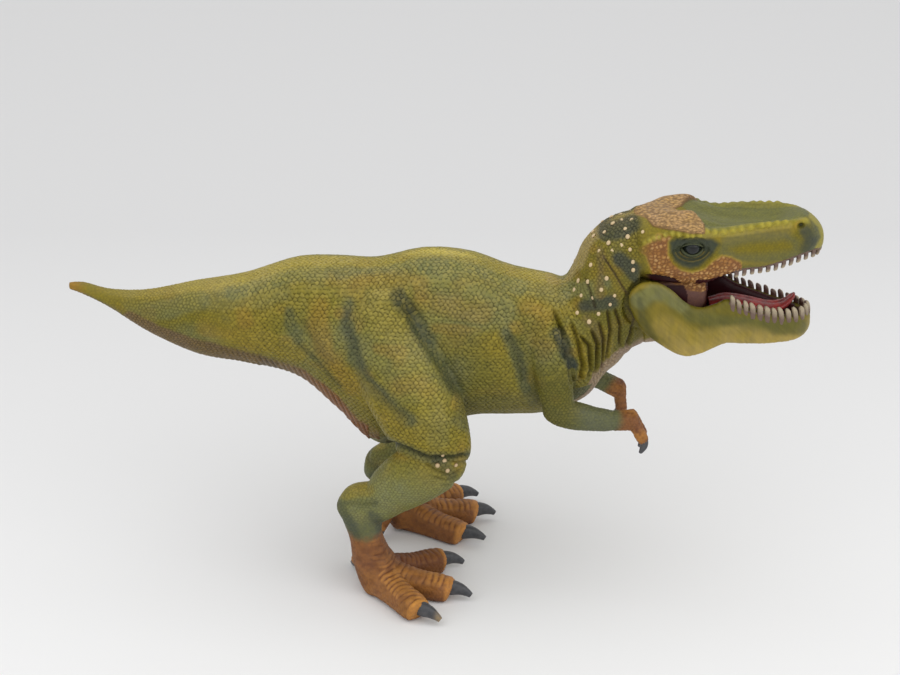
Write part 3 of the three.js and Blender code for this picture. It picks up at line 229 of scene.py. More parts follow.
# Where the skin is cut into pieces: behind the hips, before the knees and behind the head, with the hips
# halved at the mid-plane, the legs cut off below the belly and the hands kept with the chest
CUTS = (-29.0, 42.0, 78.0)
LEG_CUT, HAND_CUT = 47.5, 82.0
TAIL, HIPS, CHEST, HEAD, LEFT_HIP, RIGHT_LEG, LEFT_LEG = range(7)
SKIN_PIECES = {TAIL: ("tail_skin", ()), HIPS: ("right_hip_skin", ("trunk",)), LEFT_HIP: ("left_hip_skin", ()),
               CHEST: ("chest_skin", ("left_arm", "right_arm")),
               HEAD: ("head_skin", ("skull", "mouth_lining")), RIGHT_LEG: ("right_leg_skin", ("right_leg",)),
               LEFT_LEG: ("left_leg_skin", ("left_leg",))}

# --- the camera, in the figure's own frame
CAMERA_AT = np.array([18.0, -666.1, 402.3])
CAMERA_AIM = np.array([18.0, 0.0, 91.7])
VIEW_WIDTH, VIEW_HEIGHT, FOCAL_PIXELS = 900, 675, 1988.0


def unit(v):
    """A vector, or each row of an array, divided by its length."""
    return v / np.maximum(np.linalg.norm(v, axis=-1, keepdims=True), 1e-9)


CAMERA_AHEAD = unit(CAMERA_AIM - CAMERA_AT)
CAMERA_RIGHT = unit(np.cross(CAMERA_AHEAD, UP))
CAMERA_UP = np.cross(CAMERA_RIGHT, CAMERA_AHEAD)


def shift():
    """From the figure's own frame to the shared one: how far the hinge pin's middle is from its place."""
    low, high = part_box("jaw_pin")
    middle = np.array((low + high) / 2) / MM
    return np.array([middle[0] - PIVOT[0], middle[1], middle[2] - PIVOT[2]])


def in_view(points):
    """Pixels of the main view for points, with the far half mirrored onto the near one, and their depth.
    A pixel is the offset along the view's right and up, over the depth, times the focal length."""
    near = np.stack([points[:, 0], -np.abs(points[:, 1]), points[:, 2]], -1) - CAMERA_AT
    depth = near @ CAMERA_AHEAD
    across = VIEW_WIDTH / 2 + FOCAL_PIXELS * (near @ CAMERA_RIGHT) / depth
    down = VIEW_HEIGHT / 2 - FOCAL_PIXELS * (near @ CAMERA_UP) / depth
    return np.stack([across, down], -1), depth


# --- smooth steps, noise and cells
def ease(low, high, value):
    """0 up to low, 1 from high, with a smooth cubic between."""
    t = np.clip((value - low) / (high - low), 0, 1)
    return t * t * (3 - 2 * t)


def bell(value, middle, width):
    """1 at the middle, falling off by e to the minus square of the way from it, in widths."""
    return np.exp(-((value - middle) / width) ** 2)


def chance(cells, seed):
    """Three shares from 0 to 1 for each whole-numbered cell, mixed from the bits of its place."""
    c = cells.astype(np.int64).astype(np.uint32)
    h = c[..., 0] * np.uint32(0x8DA6B343) ^ c[..., 1] * np.uint32(0xD8163841)
    h = h ^ c[..., 2] * np.uint32(0xCB1AB31F) ^ np.uint32(seed * 0x9E3779B9 & 0xFFFFFFFF)
    h = (h ^ (h >> np.uint32(16))) * np.uint32(0x7FEB352D)
    h = (h ^ (h >> np.uint32(15))) * np.uint32(0x846CA68B)
    h = h ^ (h >> np.uint32(16))
    parts = [(h >> np.uint32(bits)) & np.uint32(1023) for bits in (0, 10, 20)]
    return np.stack(parts, -1).astype(np.float32) / 1023


def wander(points, size, seed):
    """Smooth noise from 0 to 1: random values on a lattice, blended by the eased place in the cell."""
    q = (points / np.asarray(size)).astype(np.float32)
    base = np.floor(q)
    t = q - base
    t = t * t * (3 - 2 * t)
    total = np.zeros(len(q), np.float32)
    for i in range(8):
        corner = np.array([i & 1, (i >> 1) & 1, (i >> 2) & 1], np.float32)
        weight = np.prod(np.where(corner > 0, t, 1 - t), axis=-1)
        total += weight * chance(base + corner, seed)[:, 0]
    return total


def pebbles(points, size, seed, jitter):
    """Cells round jittered lattice points: the nearest distance, the gap to the second nearest, and a
    share of the cell's own, all in cell sizes."""
    q = (points / np.asarray(size)).astype(np.float32)
    base = np.floor(q)
    first = np.full(len(q), 9.0, np.float32)
    second = first.copy()
    own = np.zeros(len(q), np.float32)
    for i in range(27):
        cell = base + np.array([i % 3 - 1, i // 3 % 3 - 1, i // 9 - 1], np.float32)
        share = chance(cell, seed)
        d = q - cell - 0.5 - (share - 0.5) * jitter
        d = np.sqrt(np.einsum("ij,ij->i", d, d))
        closer = d < first
        second = np.where(closer, first, np.minimum(second, d))
        own = np.where(closer, share[:, 0], own)
        first = np.where(closer, d, first)
    return first, second - first, own


def plates(points, normals, long, tall, seed, jitter):
    """Rows of staggered scales, long ones along X, laid out from the side, from above and from the front
    and faded into each other by the way the surface faces. Gives the gap to the next scale, in millimetres,
    a share of the scale's own and the rise over its middle."""
    facing = np.abs(normals) ** 14
    facing /= facing.sum(1, keepdims=True)
    result = np.zeros((3, len(points)))
    for away, across, up in ((1, 0, 2), (2, 0, 1), (0, 1, 2)):
        mine = np.flatnonzero(facing[:, away] > 0.02)
        u, v = points[mine, across] / long, points[mine, up] / tall
        first = np.full(len(mine), 9.0)
        second, own, rise = first.copy(), np.zeros(len(mine)), np.zeros(len(mine))
        for i in range(9):
            row = np.floor(v) + i // 3 - 1
            along = u + 0.5 * (row % 2)
            cell = np.floor(along) + i % 3 - 1
            share = chance(np.stack([cell, row, np.full_like(row, away)], -1), seed)
            over = (v - row - 0.5 - (share[:, 1] - 0.5) * jitter) * tall
            d = np.hypot((along - cell - 0.5 - (share[:, 0] - 0.5) * jitter) * long, over)
            closer = d < first
            rise = np.where(closer, over, rise)
            second = np.where(closer, first, np.minimum(second, d))
            own = np.where(closer, share[:, 2], own)
            first = np.where(closer, d, first)
        result[:, mine] += np.stack([second - first, own, rise * (away != 2)]) * facing[mine, away]
    return result


# --- lofts
def station(x, y, z, wide, up, lean=0.0, power=2.2, low=2.2, taper=0.0):
    """A cross-section: centre, half width, half height, lean in degrees, squareness and taper."""
    return (x, y, z, wide, up, lean, power, low, taper)


def between(stations, places):
    """Cross-sections at places along the list, by a Catmull-Rom spline on every value of a section."""
    s = np.asarray(stations, float)
    places = np.atleast_1d(np.asarray(places, float))
    last = len(s) - 1
    start = np.clip(np.floor(places).astype(int), 0, last - 1)
    t = (places - start)[:, None]
    b, c = s[start], s[start + 1]
    a = np.where(start[:, None] > 0, s[np.maximum(start - 1, 0)], 2 * b - c)
    d = np.where(start[:, None] + 1 < last, s[np.minimum(start + 2, last)], 2 * c - b)
    return b + 0.5 * t * (((3 * (b - c) + d - a) * t + (2 * a - 5 * b + 4 * c - d)) * t + c - a)


def axes_at(stations, places, way):
    """The two directions of each section: upright ones lean about Y, plan ones keep Z up and turn with
    the path, and the others stand square to the path."""
    if way == "upright":
        lean = np.radians(between(stations, places)[:, 5])
        side = np.tile(MID, (len(places), 1))
        return side, np.stack([-np.sin(lean), np.zeros_like(lean), np.cos(lean)], -1)
    last = len(stations) - 1
    ahead = between(stations, np.minimum(places + 0.2, last))[:, :3]
    behind = between(stations, np.maximum(places - 0.2, 0))[:, :3]
    along = unit(ahead - behind)
    if way == "plan":
        up = np.tile(UP, (len(places), 1))
        return unit(np.cross(up, along)), up
    side = unit(MID - along * along[:, 1:2])
    return side, np.cross(along, side)


def closed_tube(points, rings, sides):
    """Triangles over a grid of rings, with a middle point closing each end, facing outwards."""
    ring, side = np.meshgrid(np.arange(rings - 1), np.arange(sides), indexing="ij")
    a = (ring * sides + side).ravel()
    b = (ring * sides + (side + 1) % sides).ravel()
    i = np.arange(sides)
    start, end = rings * sides, rings * sides + 1
    last = (rings - 1) * sides
    faces = np.concatenate([
        np.stack([a, b, b + sides], -1), np.stack([a, b + sides, a + sides], -1),
        np.stack([np.full(sides, start), (i + 1) % sides, i], -1),
        np.stack([np.full(sides, end), last + i, last + (i + 1) % sides], -1)])
    grid = points.reshape(rings, sides, 3)
    verts = np.concatenate([points, grid[:1].mean(1), grid[-1:].mean(1)])
    corners = verts[faces]
    volume = np.einsum("ij,ij->i", corners[:, 0], np.cross(corners[:, 1], corners[:, 2])).sum()
    return verts, faces[:, ::-1] if volume < 0 else faces


def loft(stations, steps=6, sides=48, way="path"):
    """A closed skin over sections. A point of a section is the centre plus side times the cosine and up
    times the sine of the angle, both to the power 2 over the section's squareness, keeping their signs."""
    rings = (len(stations) - 1) * steps + 1
    places = np.linspace(0, len(stations) - 1, rings)
    s = between(stations, places)
    side, up = axes_at(stations, places, way)
    angle = 2 * np.pi * np.arange(sides) / sides
    c, h = np.cos(angle)[None, :], np.sin(angle)[None, :]
    power = np.where(h < 0, 2 / s[:, 7:8], 2 / s[:, 6:7])
    rise = np.sign(h) * np.abs(h) ** power
    reach = np.sign(c) * np.abs(c) ** power * (1 + s[:, 8:9] * rise)
    points = (s[:, None, :3] + (reach * s[:, 3:4])[..., None] * side[:, None]
              + (rise * s[:, 4:5])[..., None] * up[:, None])
    return closed_tube(points.reshape(-1, 3), rings, sides)


def limb(start, end, depth, width, rows, steps=6, sides=40):
    """A straight limb between two joints, lofted over its rows of shares."""
    along = end - start
    side = unit(MID - along * along[1] / (along @ along))
    front = unit(np.cross(along, side))
    sections = []
    for share, forward, deep, wide in rows:
        at = start + along * share + front * forward * depth / 2
        sections.append(station(*at, wide * width / 2, deep * depth / 2))
    return loft(sections, steps, sides)


def merged(parts):
    """Several skins as one list of points and triangles."""
    counts = np.cumsum([0] + [len(v) for v, _ in parts[:-1]])
    return np.concatenate([v for v, _ in parts]), np.concatenate([f + n for (_, f), n in zip(parts, counts)])


# --- the forms of the figure
def on_neck_end(lift, off=0.0):
    """A place on the end of the neck, lifted along its slope and stood off from it."""
    lean = math.radians(NECK_LEAN)
    return np.array([BARREL_LENGTH + NECK_REACH - lift * math.sin(lean) + off * math.cos(lean), 0.0,
                     HIP_HEIGHT + NECK_RISE + lift * math.cos(lean) + off * math.sin(lean)])


PIVOT = on_neck_end(0) + np.array([PIVOT_FORWARD, 0.0, -PIVOT_DROP])
SKULL_BASE = on_neck_end(SKULL_LIFT, SEAT_GAP)
EYE_AT = SKULL_BASE + np.array([EYE_FORWARD, 0, EYE_LIFT])
NOSTRIL_AT = SKULL_BASE + np.array([NOSTRIL_FORWARD, 0, NOSTRIL_LIFT])


def trunk_form():
    """Tail, barrel and neck as one loft over upright sections along X: each row's shares times the
    length, rise, width and depth of its stretch."""
    rows = [station(-a * TAIL_LENGTH, 0, HIP_HEIGHT + r * TAIL_RISE, w * HIP_WIDTH / 2, d * HIP_DEPTH / 2,
                    low=low)
            for a, r, d, w, low in TAIL_SHARES]
    rows += [station(a * BARREL_LENGTH, 0, HIP_HEIGHT + r * CHEST_DEPTH, w * CHEST_WIDTH / 2,
                     d * CHEST_DEPTH / 2)
             for a, r, d, w in BARREL_SHARES]
    rows += [station(BARREL_LENGTH + a * NECK_REACH, 0, HIP_HEIGHT + r * NECK_RISE, w * NECK_WIDTH / 2,
                     d * NECK_DEPTH / 2, lean=lean * NECK_LEAN, taper=taper)
             for a, r, d, w, lean, taper in NECK_SHARES]
    return loft(rows, 8, 96, "upright")


def skull_stations():
    """The skull's upright sections: its base plus shares of its length and depth, with half sizes as
    shares of its width and depth."""
    return [station(SKULL_BASE[0] + a * SKULL_LENGTH, 0, SKULL_BASE[2] + r * SKULL_DEPTH, w * SKULL_WIDTH / 2,
                    d * SKULL_DEPTH / 2, lean=lean * NECK_LEAN, power=power, low=low)
            for a, r, d, w, lean, power, low in SKULL_SHARES]


def skull_at(shares):
    """The skull's sections at shares of its length."""
    along = np.array([row[0] for row in SKULL_SHARES], float)
    return between(skull_stations(), np.interp(np.atleast_1d(shares), along, np.arange(len(along))))


def brow_form(side):
    """The ridge of brow and snout on one side: round sections, out and up from the skull's middle by
    shares of its half width and half depth there."""
    rows = []
    for along, out, up, thick in RIDGE_SHARES:
        s = skull_at(along)[0]
        half = thick * BROW_THICKNESS / 2
        rows.append(station(s[0], side * out * s[3], s[2] + up * s[4], half, half))
    return loft(rows, 6, 32)


def block_form():
    """The hinge block: squared upright sections, each between a top and a bottom share of its height."""
    base = on_neck_end(-BLOCK_DROP, SEAT_GAP)
    return loft([station(base[0] + a * BLOCK_REACH, 0, base[2] + (top + bottom) / 2 * BLOCK_HEIGHT,
                         wide * BLOCK_WIDTH / 2, (top - bottom) / 2 * BLOCK_HEIGHT,
                         lean=NECK_LEAN * (1 - a), power=4, low=3)
                 for a, wide, top, bottom in BLOCK_SHARES], 5, 48, "upright")


def foot_point(leg, angle, reach, height):
    """A point out from the foot's middle at an angle in degrees, at a height over the floor."""
    turn = math.radians(leg["yaw"] + angle)
    return np.array([leg["foot"][0] + reach * math.cos(turn),
                     leg["side"] * (leg["foot"][1] + reach * math.sin(turn)), height])


def leg_joints(leg):
    """Hip, knee, ankle and the foot's middle."""
    side = leg["side"]
    return (np.array([-THIGH_TOP_BACK, side * THIGH_TOP_SPREAD / 2, THIGH_TOP_HEIGHT]),
            np.array([KNEE_FORWARD, side * KNEE_SPREAD / 2, KNEE_HEIGHT]),
            np.array([leg["ankle"][0], side * leg["foot"][1], leg["ankle"][1]]),
            foot_point(leg, 0, 0, FOOT_HEIGHT))


def toe_form(leg, angle, length):
    """A toe: sections out along its angle from the foot's middle, each between its top and underside."""
    rows = []
    for along, top, bottom, wide in TOE_SHARES:
        p = foot_point(leg, angle, along * length * TOE_LENGTH, (top + bottom) / 2 * TOE_HEIGHT)
        rows.append(station(*p, wide * TOE_WIDTH / 2, (top - bottom) / 2 * TOE_HEIGHT, low=2.8))
    return loft(rows, 6, 32)


def rear_toe_form(leg):
    """The rear toe: round sections out along its angle, at shares of the toes' height."""
    rows = []
    for along, height, thick in REAR_TOE_SHARES:
        p = foot_point(leg, REAR_TOE_ANGLE, REAR_TOE_ROOT + along * REAR_TOE_LENGTH, height * TOE_HEIGHT)
        rows.append(station(*p, thick * REAR_TOE_WIDTH / 2, thick * REAR_TOE_WIDTH / 2))
    return loft(rows, 6, 24)


def leg_forms(leg):
    """The forms of a leg: three limbs from joint to joint, and the toes."""
    hip, knee, ankle, foot = leg_joints(leg)
    forms = [limb(hip, knee, THIGH_DEPTH, THIGH_WIDTH, THIGH_SHARES, 6, 64),
             limb(knee, ankle, SHANK_DEPTH, SHANK_WIDTH, SHANK_SHARES, 6, 48),
             limb(ankle, foot, INSTEP_DEPTH, INSTEP_WIDTH, INSTEP_SHARES, 6, 48), rear_toe_form(leg)]
    return forms + [toe_form(leg, angle, length) for angle, (_, length) in zip(leg["toes"], TOES)]


def step_at(start, length, pitch):
    """A step ahead and up at a pitch in degrees."""
    return start + length * np.array([math.cos(math.radians(pitch)), 0.0, math.sin(math.radians(pitch))])


def arm_joints(arm):
    """Shoulder, elbow and wrist."""
    side = arm["side"]
    wrist = np.array([WRIST_FORWARD, side * arm["wrist"][0], arm["wrist"][1]])
    return (np.array([SHOULDER_FORWARD, side * SHOULDER_SPREAD / 2, SHOULDER_HEIGHT]),
            np.array([ELBOW_FORWARD, side * ELBOW_SPREAD / 2, arm["elbow"]]), wrist)


def finger_points(arm, sideways):
    """Knuckle, fingertip and claw tip, each a step on from the last at its own pitch."""
    wrist = arm_joints(arm)[2]
    hand, finger, claw = arm["pitch"]
    knuckle = step_at(wrist, KNUCKLE_FORWARD, hand) + MID * sideways * FINGER_SPREAD / 2
    tip = step_at(knuckle, FINGER_LENGTH, finger)
    return knuckle, tip, step_at(tip, FINGER_CLAW_LENGTH - FINGER_CLAW_SEAT, claw)


def arm_forms(arm):
    """The forms of an arm: three limbs from joint to joint, and two fingers."""
    shoulder, elbow, wrist = arm_joints(arm)
    forms = [limb(shoulder, elbow, UPPER_ARM_DEPTH, UPPER_ARM_WIDTH, UPPER_ARM_SHARES),
             limb(elbow, wrist, FOREARM_THICKNESS, FOREARM_THICKNESS, FOREARM_SHARES),
             limb(wrist, step_at(wrist, HAND_LENGTH, arm["pitch"][0]), HAND_THICKNESS, HAND_THICKNESS,
                  HAND_SHARES)]
    for sideways in (-1, 1):
        knuckle, tip, _ = finger_points(arm, sideways)
        forms.append(limb(knuckle, tip, FINGER_THICKNESS, FINGER_THICKNESS, FINGER_SHARES, 6, 24))
    return forms


# --- meshes
def mesh_from(name, points, faces, tris=None):
    """A Blender mesh of points in metres, with quads or triangles and more triangles if given."""
    mesh = bpy.data.meshes.new(name)
    groups = [faces] if tris is None or not len(tris) else [faces, tris]
    loops = np.concatenate([g.ravel() for g in groups])
    sizes = np.concatenate([np.full(len(g), g.shape[1]) for g in groups])
    starts = np.concatenate([[0], np.cumsum(sizes)[:-1]])
    mesh.vertices.add(len(points))
    mesh.vertices.foreach_set("co", points.astype(np.float32).ravel())
    mesh.loops.add(len(loops))
    mesh.loops.foreach_set("vertex_index", loops.astype(np.int32))
    mesh.polygons.add(len(sizes))
    mesh.polygons.foreach_set("loop_start", starts.astype(np.int32))
    mesh.update(calc_edges=True)
    mesh.polygons.foreach_set("use_smooth", np.ones(len(sizes), bool))
    return mesh


def paint_attribute(mesh, name, values):
    """Stores numbers, or colours in linear light, on the points of a mesh."""
    if values.ndim == 2:
        layer = mesh.attributes.new(name, "FLOAT_COLOR", "POINT")
        rgba = np.concatenate([values, np.ones((len(values), 1))], 1).astype(np.float32)
        layer.data.foreach_set("color", rgba.ravel())
    else:
        mesh.attributes.new(name, "FLOAT", "POINT").data.foreach_set("value", values.astype(np.float32))


def piece(name, points, faces, body, slot, material, replaced=(), tris=None, attributes=None, normals=None):
    """A finished piece from points in millimetres in the figure's own frame."""
    mesh = mesh_from(name, (points + shift()) * MM, faces, tris)
    for key, values in (attributes or {}).items():
        paint_attribute(mesh, key, values)
    if normals is not None:
        mesh.normals_split_custom_set_from_vertices(normals.astype(np.float32))
    mesh.materials.append(material)
    obj = bpy.data.objects.new(name, mesh)
    bpy.context.scene.collection.objects.link(obj)
    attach(obj, body)
    if replaced:
        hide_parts(*replaced)


CAD_BOX = []


def held_in_box(points, off_floor=0.0):
    """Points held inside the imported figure's box, as it was before any piece was added."""
    low, high = (np.array(v) / MM - shift() for v in CAD_BOX[0])
    return np.clip(points, low + UP * off_floor, high)


def fused(parts, voxel):
    """One skin round several overlapping ones, as quads of about the voxel's size, in millimetres."""
    points, faces = merged(parts)
    obj = bpy.data.objects.new("fusing", mesh_from("fusing", points * MM, faces))
    bpy.context.scene.collection.objects.link(obj)
    modifier = obj.modifiers.new("fuse", "REMESH")
    modifier.mode = "VOXEL"
    modifier.voxel_size = voxel * MM
    modifier.adaptivity = 0
    made = obj.evaluated_get(bpy.context.evaluated_depsgraph_get())
    mesh = made.to_mesh()
    co = np.empty(len(mesh.vertices) * 3, np.float32)
    mesh.vertices.foreach_get("co", co)
    loops = np.empty(len(mesh.loops), np.int32)
    mesh.loops.foreach_get("vertex_index", loops)
    sizes = np.empty(len(mesh.polygons), np.int32)
    mesh.polygons.foreach_get("loop_total", sizes)
    made.to_mesh_clear()
    source = obj.data
    bpy.data.objects.remove(obj)
    bpy.data.meshes.remove(source)
    if not (sizes == 4).all():
        raise RuntimeError("the fused skin has faces that are not quads")
    return co.reshape(-1, 3).astype(float) / MM, loops.reshape(-1, 4)


def edges_of(quads):
    """Every edge of the quads once in each direction: a closed skin lists each one from both sides."""
    return np.concatenate([quads[:, [0, 1]], quads[:, [1, 2]], quads[:, [2, 3]], quads[:, [3, 0]]])


def averaged(values, edges, count):
    """The mean of the neighbours' values at each point."""
    weight = np.maximum(np.bincount(edges[:, 0], minlength=count), 1)
    if values.ndim == 1:
        return np.bincount(edges[:, 0], values[edges[:, 1]], count) / weight
    return np.stack([np.bincount(edges[:, 0], v[edges[:, 1]], count) / weight for v in values.T], -1)


def relax(co, edges, rounds, share):
    """Moves each point by a share of the way to its neighbours' mean, several times."""
    share = share if np.isscalar(share) else share[:, None]
    for _ in range(rounds):
        co = co + share * (averaged(co, edges, len(co)) - co)
    return co


def normals_of(co, quads):
    """Point normals: the sum of the cross products of the diagonals of the quads round a point."""
    cross = np.cross(co[quads[:, 2]] - co[quads[:, 0]], co[quads[:, 3]] - co[quads[:, 1]])
    total = np.zeros_like(co)
    for k in range(4):
        for axis in range(3):
            total[:, axis] += np.bincount(quads[:, k], cross[:, axis], len(co))
    return unit(total)


def loops_of(rim, count):
    """The loop that each open edge belongs to: the lowest point number met by following the edges round,
    twice as far at every step."""
    follow = np.arange(count)
    follow[rim[:, 0]] = rim[:, 1]
    lowest = np.arange(count)
    for _ in range(int(np.ceil(np.log2(count))) + 1):
        lowest = np.minimum(lowest, lowest[follow])
        follow = follow[follow]
    return np.unique(lowest[rim[:, 0]], return_inverse=True)[1]


def share_out(co, quads, labels, normals, attributes):
    """Cuts a skin into closed pieces by the label of each quad: each open loop of a piece is turned in by
    a lip and closed by triangles to its own middle. Yields label, points, quads, triangles, attributes
    and normals."""
    for label in np.unique(labels):
        own = quads[labels == label]
        used, index = np.unique(own, return_inverse=True)
        index = index.reshape(-1, 4)
        edges = edges_of(index).astype(np.int64)
        key = edges[:, 0] * len(used) + edges[:, 1]
        back = edges[:, 1] * len(used) + edges[:, 0]
        rim = edges[~np.isin(key, back)]
        points = co[used]
        tips = np.zeros((0, 3), int)
        extra = {k: v[used] for k, v in attributes.items()}
        normal = normals[used]
        if len(rim):
            loop = loops_of(rim, len(used))
            size = np.bincount(loop)[:, None]
            middles = np.stack([np.bincount(loop, points[rim[:, 0], k]) for k in range(3)], -1) / size
            ends, lip = np.unique(rim, return_inverse=True)
            lip = lip.reshape(-1, 2) + len(used)
            index = np.concatenate([index, np.stack([rim[:, 1], rim[:, 0], lip[:, 0], lip[:, 1]], -1)])
            tips = np.stack([lip[:, 1], lip[:, 0], len(used) + len(ends) + loop], -1)
            sunk = points[ends] - LIP_DEPTH * normal[ends]
            points = np.concatenate([points, sunk, middles])
            normal = np.concatenate([normal, normal[ends], np.tile(UP, (len(middles), 1))])
            copied = np.concatenate([ends, np.zeros(len(middles), int)])
            extra = {k: np.concatenate([v, v[copied]]) for k, v in extra.items()}
        yield label, points, index, tips, extra, normal


# --- paint, laid on in pixels of the main view
def paint(code):
    """A colour written as six hex digits, in linear light."""
    value = np.array([int(code[i:i + 2], 16) for i in (0, 2, 4)]) / 255
    return np.where(value <= 0.04045, value / 12.92, ((value + 0.055) / 1.055) ** 2.4)


def line_distance(pixels, line):
    """How far each pixel is from a line of points, and how far along it, as a share, that is."""
    line = np.asarray(line, float)
    best = np.full(len(pixels), 1e9)
    share = np.zeros(len(pixels))
    for i in range(len(line) - 1):
        a, ab = line[i], line[i + 1] - line[i]
        t = np.clip(((pixels - a) @ ab) / (ab @ ab), 0, 1)
        d = np.linalg.norm(pixels - a - t[:, None] * ab, axis=1)
        closer = d < best
        best = np.where(closer, d, best)
        share = np.where(closer, (i + t) / (len(line) - 1), share)
    return best, share


def inside(pixels, outline):
    """How far inside an outline each pixel is, negative outside it."""
    outline = np.asarray(outline, float)
    ring = np.concatenate([outline, outline[:1]])
    distance, _ = line_distance(pixels, ring)
    crossed = np.zeros(len(pixels), bool)
    for (ax, ay), (bx, by) in zip(ring[:-1], ring[1:]):
        straddles = (pixels[:, 1] < ay) != (pixels[:, 1] < by)
        if ay != by:
            crossed ^= straddles & (pixels[:, 0] < ax + (pixels[:, 1] - ay) * (bx - ax) / (by - ay))
    return np.where(crossed, distance, -distance)


def laid(coat, colour, amount):
    """The coat with a colour over it, by an amount from 0 to 1 at each point."""
    amount = np.clip(amount, 0, 1)[:, None]
    return coat * (1 - amount) + colour * amount


def layered(coat, layers):
    """The coat with several layers over it, each a paint's name or a colour, and an amount."""
    c = colours()
    for colour, amount in layers:
        coat = laid(coat, c[colour] if isinstance(colour, str) else colour, amount)
    return coat


def brushed(coat, mine, pixels, strokes, ragged, limit=1.0):
    """Lays brush strokes over some points of the coat: full up to a stroke's half width, gone past its
    softness, with a ragged edge, and no stronger than the limit but for the paints of the back."""
    c = colours()
    for name, half, soft, strength, line in strokes:
        away = line_distance(pixels[mine], line)[0]
        amount = strength * (1 - ease(half, half + soft, away + ragged * soft))
        amount = amount * (1.0 if name in BACK_PAINTS else limit)
        coat[mine] = laid(coat[mine], c[name], amount)


# Brush strokes on the body, among them painted highlights and painted shade: colour, half width in pixels,
# softness, strength, points
BODY_STROKES = (
    # Painted highlight along the top of the back
    ("top_highlight", 4, 4, 0.7, ((180, 287), (250, 283), (300, 262), (365, 257), (400, 250), (440, 247),
        (480, 251), (520, 267), (550, 280))),
    # Painted highlight over the highest part of the back
    ("sun", 2, 5, 0.6, ((404, 253), (440, 249), (484, 254))),
    ("teal", 5, 7, 0.6, ((235, 292), (300, 272), (345, 272), (372, 268), (400, 262), (432, 265),
        (462, 263), (492, 275), (518, 288))),
    ("teal", 6, 8, 0.5, ((132, 305), (152, 312), (172, 305), (200, 300))),
    ("teal", 5, 10, 0.35, ((210, 300), (250, 300), (280, 292))),
    ("ochre", 3, 12, 0.3, ((336, 278), (352, 281), (375, 279), (408, 276))),
    ("ochre", 3, 12, 0.45, ((321, 306), (318, 327), (326, 352), (338, 368), (352, 384))),
    # Blue-grey paint and painted shade in the folds of the thigh, with painted shade in its deepest fold
    ("stripe_and_shade", 2.0, 9, 0.75, ((349, 303), (346, 319), (352, 341), (356, 361), (367, 380), (379, 394),
        (391, 406), (408, 419))),
    ("crease_shade", 3.5, 10, 0.95, ((399, 301), (409, 309), (417, 323), (425, 336))),
    ("stripe_and_shade", 1.5, 11, 0.6, ((417, 322), (426, 340), (438, 359), (449, 378), (458, 393), (462, 408),
        (464, 425))),
    ("stripe_and_shade", 3, 11, 0.3, ((424, 330), (437, 351), (450, 370), (458, 386))),
    ("ochre", 3, 14, 0.3, ((424, 300), (445, 305), (482, 313))),
    ("yellow", 7, 12, 0.5, ((452, 342), (475, 346), (497, 345))),
    ("ochre", 3, 12, 0.3, ((400, 386), (419, 382), (426, 390))),
    ("yellow", 5, 9, 0.45, ((352, 378), (370, 398), (396, 420))),
    # Painted highlight down the middle of the thigh
    ("top_highlight", 6, 16, 0.26, ((378, 312), (400, 345), (420, 378), (434, 405))),
    ("teal", 5, 10, 0.5, ((340, 268), (380, 264), (415, 266), (450, 272))),
    ("teal", 5, 10, 0.45, ((520, 283), (545, 290), (560, 296))),
    ("yellow", 6, 9, 0.6, ((205, 326), (240, 337), (275, 344), (298, 352))),
    # Blue-grey paint and painted shade in the fold behind the thigh
    ("stripe_and_shade", 2, 7, 0.6, ((289, 312), (291, 326), (298, 340))),
    ("crease_shade", 0.8, 3, 0.5, ((300, 344), (312, 356), (324, 368), (340, 386))),
    ("ochre", 3, 12, 0.35, ((528, 308), (543, 315), (536, 335), (545, 348))),
    # Blue-grey paint and painted shade in the fold behind the shoulder, and painted shade under the arm and
    # beside the shoulder
    ("stripe_and_shade", 2.5, 8, 0.75, ((507, 333), (515, 350), (522, 368), (524, 384), (534, 399))),
    ("crease_shade", 2.5, 6, 0.9, ((553, 334), (561, 345), (567, 358), (571, 366))),
    ("navy", 3, 7, 0.8, ((559, 334), (565, 348), (570, 362))),
    ("arm", 8, 14, 0.5, ((528, 330), (540, 352), (548, 376))),
    # Painted shade under the belly
    ("belly", 8, 12, 0.6, ((466, 408), (500, 409), (540, 407))),
    # Blue-grey paint and painted shade in the fold over the knee
    ("stripe_and_shade", 2, 6, 0.6, ((385, 441), (405, 448), (425, 457), (440, 459), (456, 457), (468, 454))),
    ("crease_shade", 0.5, 2.2, 0.7, ((388, 442), (405, 448), (425, 457), (440, 459), (456, 457), (468, 454))),
    # Painted shade low on the flank
    ("arm", 10, 18, 0.4, ((462, 345), (476, 375), (492, 398))),
    # Dark paint and painted shade in the folds of the knee
    ("navy", 3, 6, 0.45, ((436, 462), (447, 468), (452, 476))),
    # Blue-grey paint and painted shade in the fold over the heel
    ("stripe_and_shade", 2, 7, 0.35, ((345, 504), (356, 506), (374, 505))),
    ("yellow", 3, 5, 0.45, ((347, 494), (356, 491), (368, 490))),
    ("teal", 8, 8, 0.5, ((346, 515), (360, 522), (378, 520), (380, 528))),
)
# Dark shades on the heel and before the ankle
HEEL_SHADES = (((338, 505), (344, 514), (351, 526), (356, 536)), ((372, 515), (380, 523), (381, 532)))
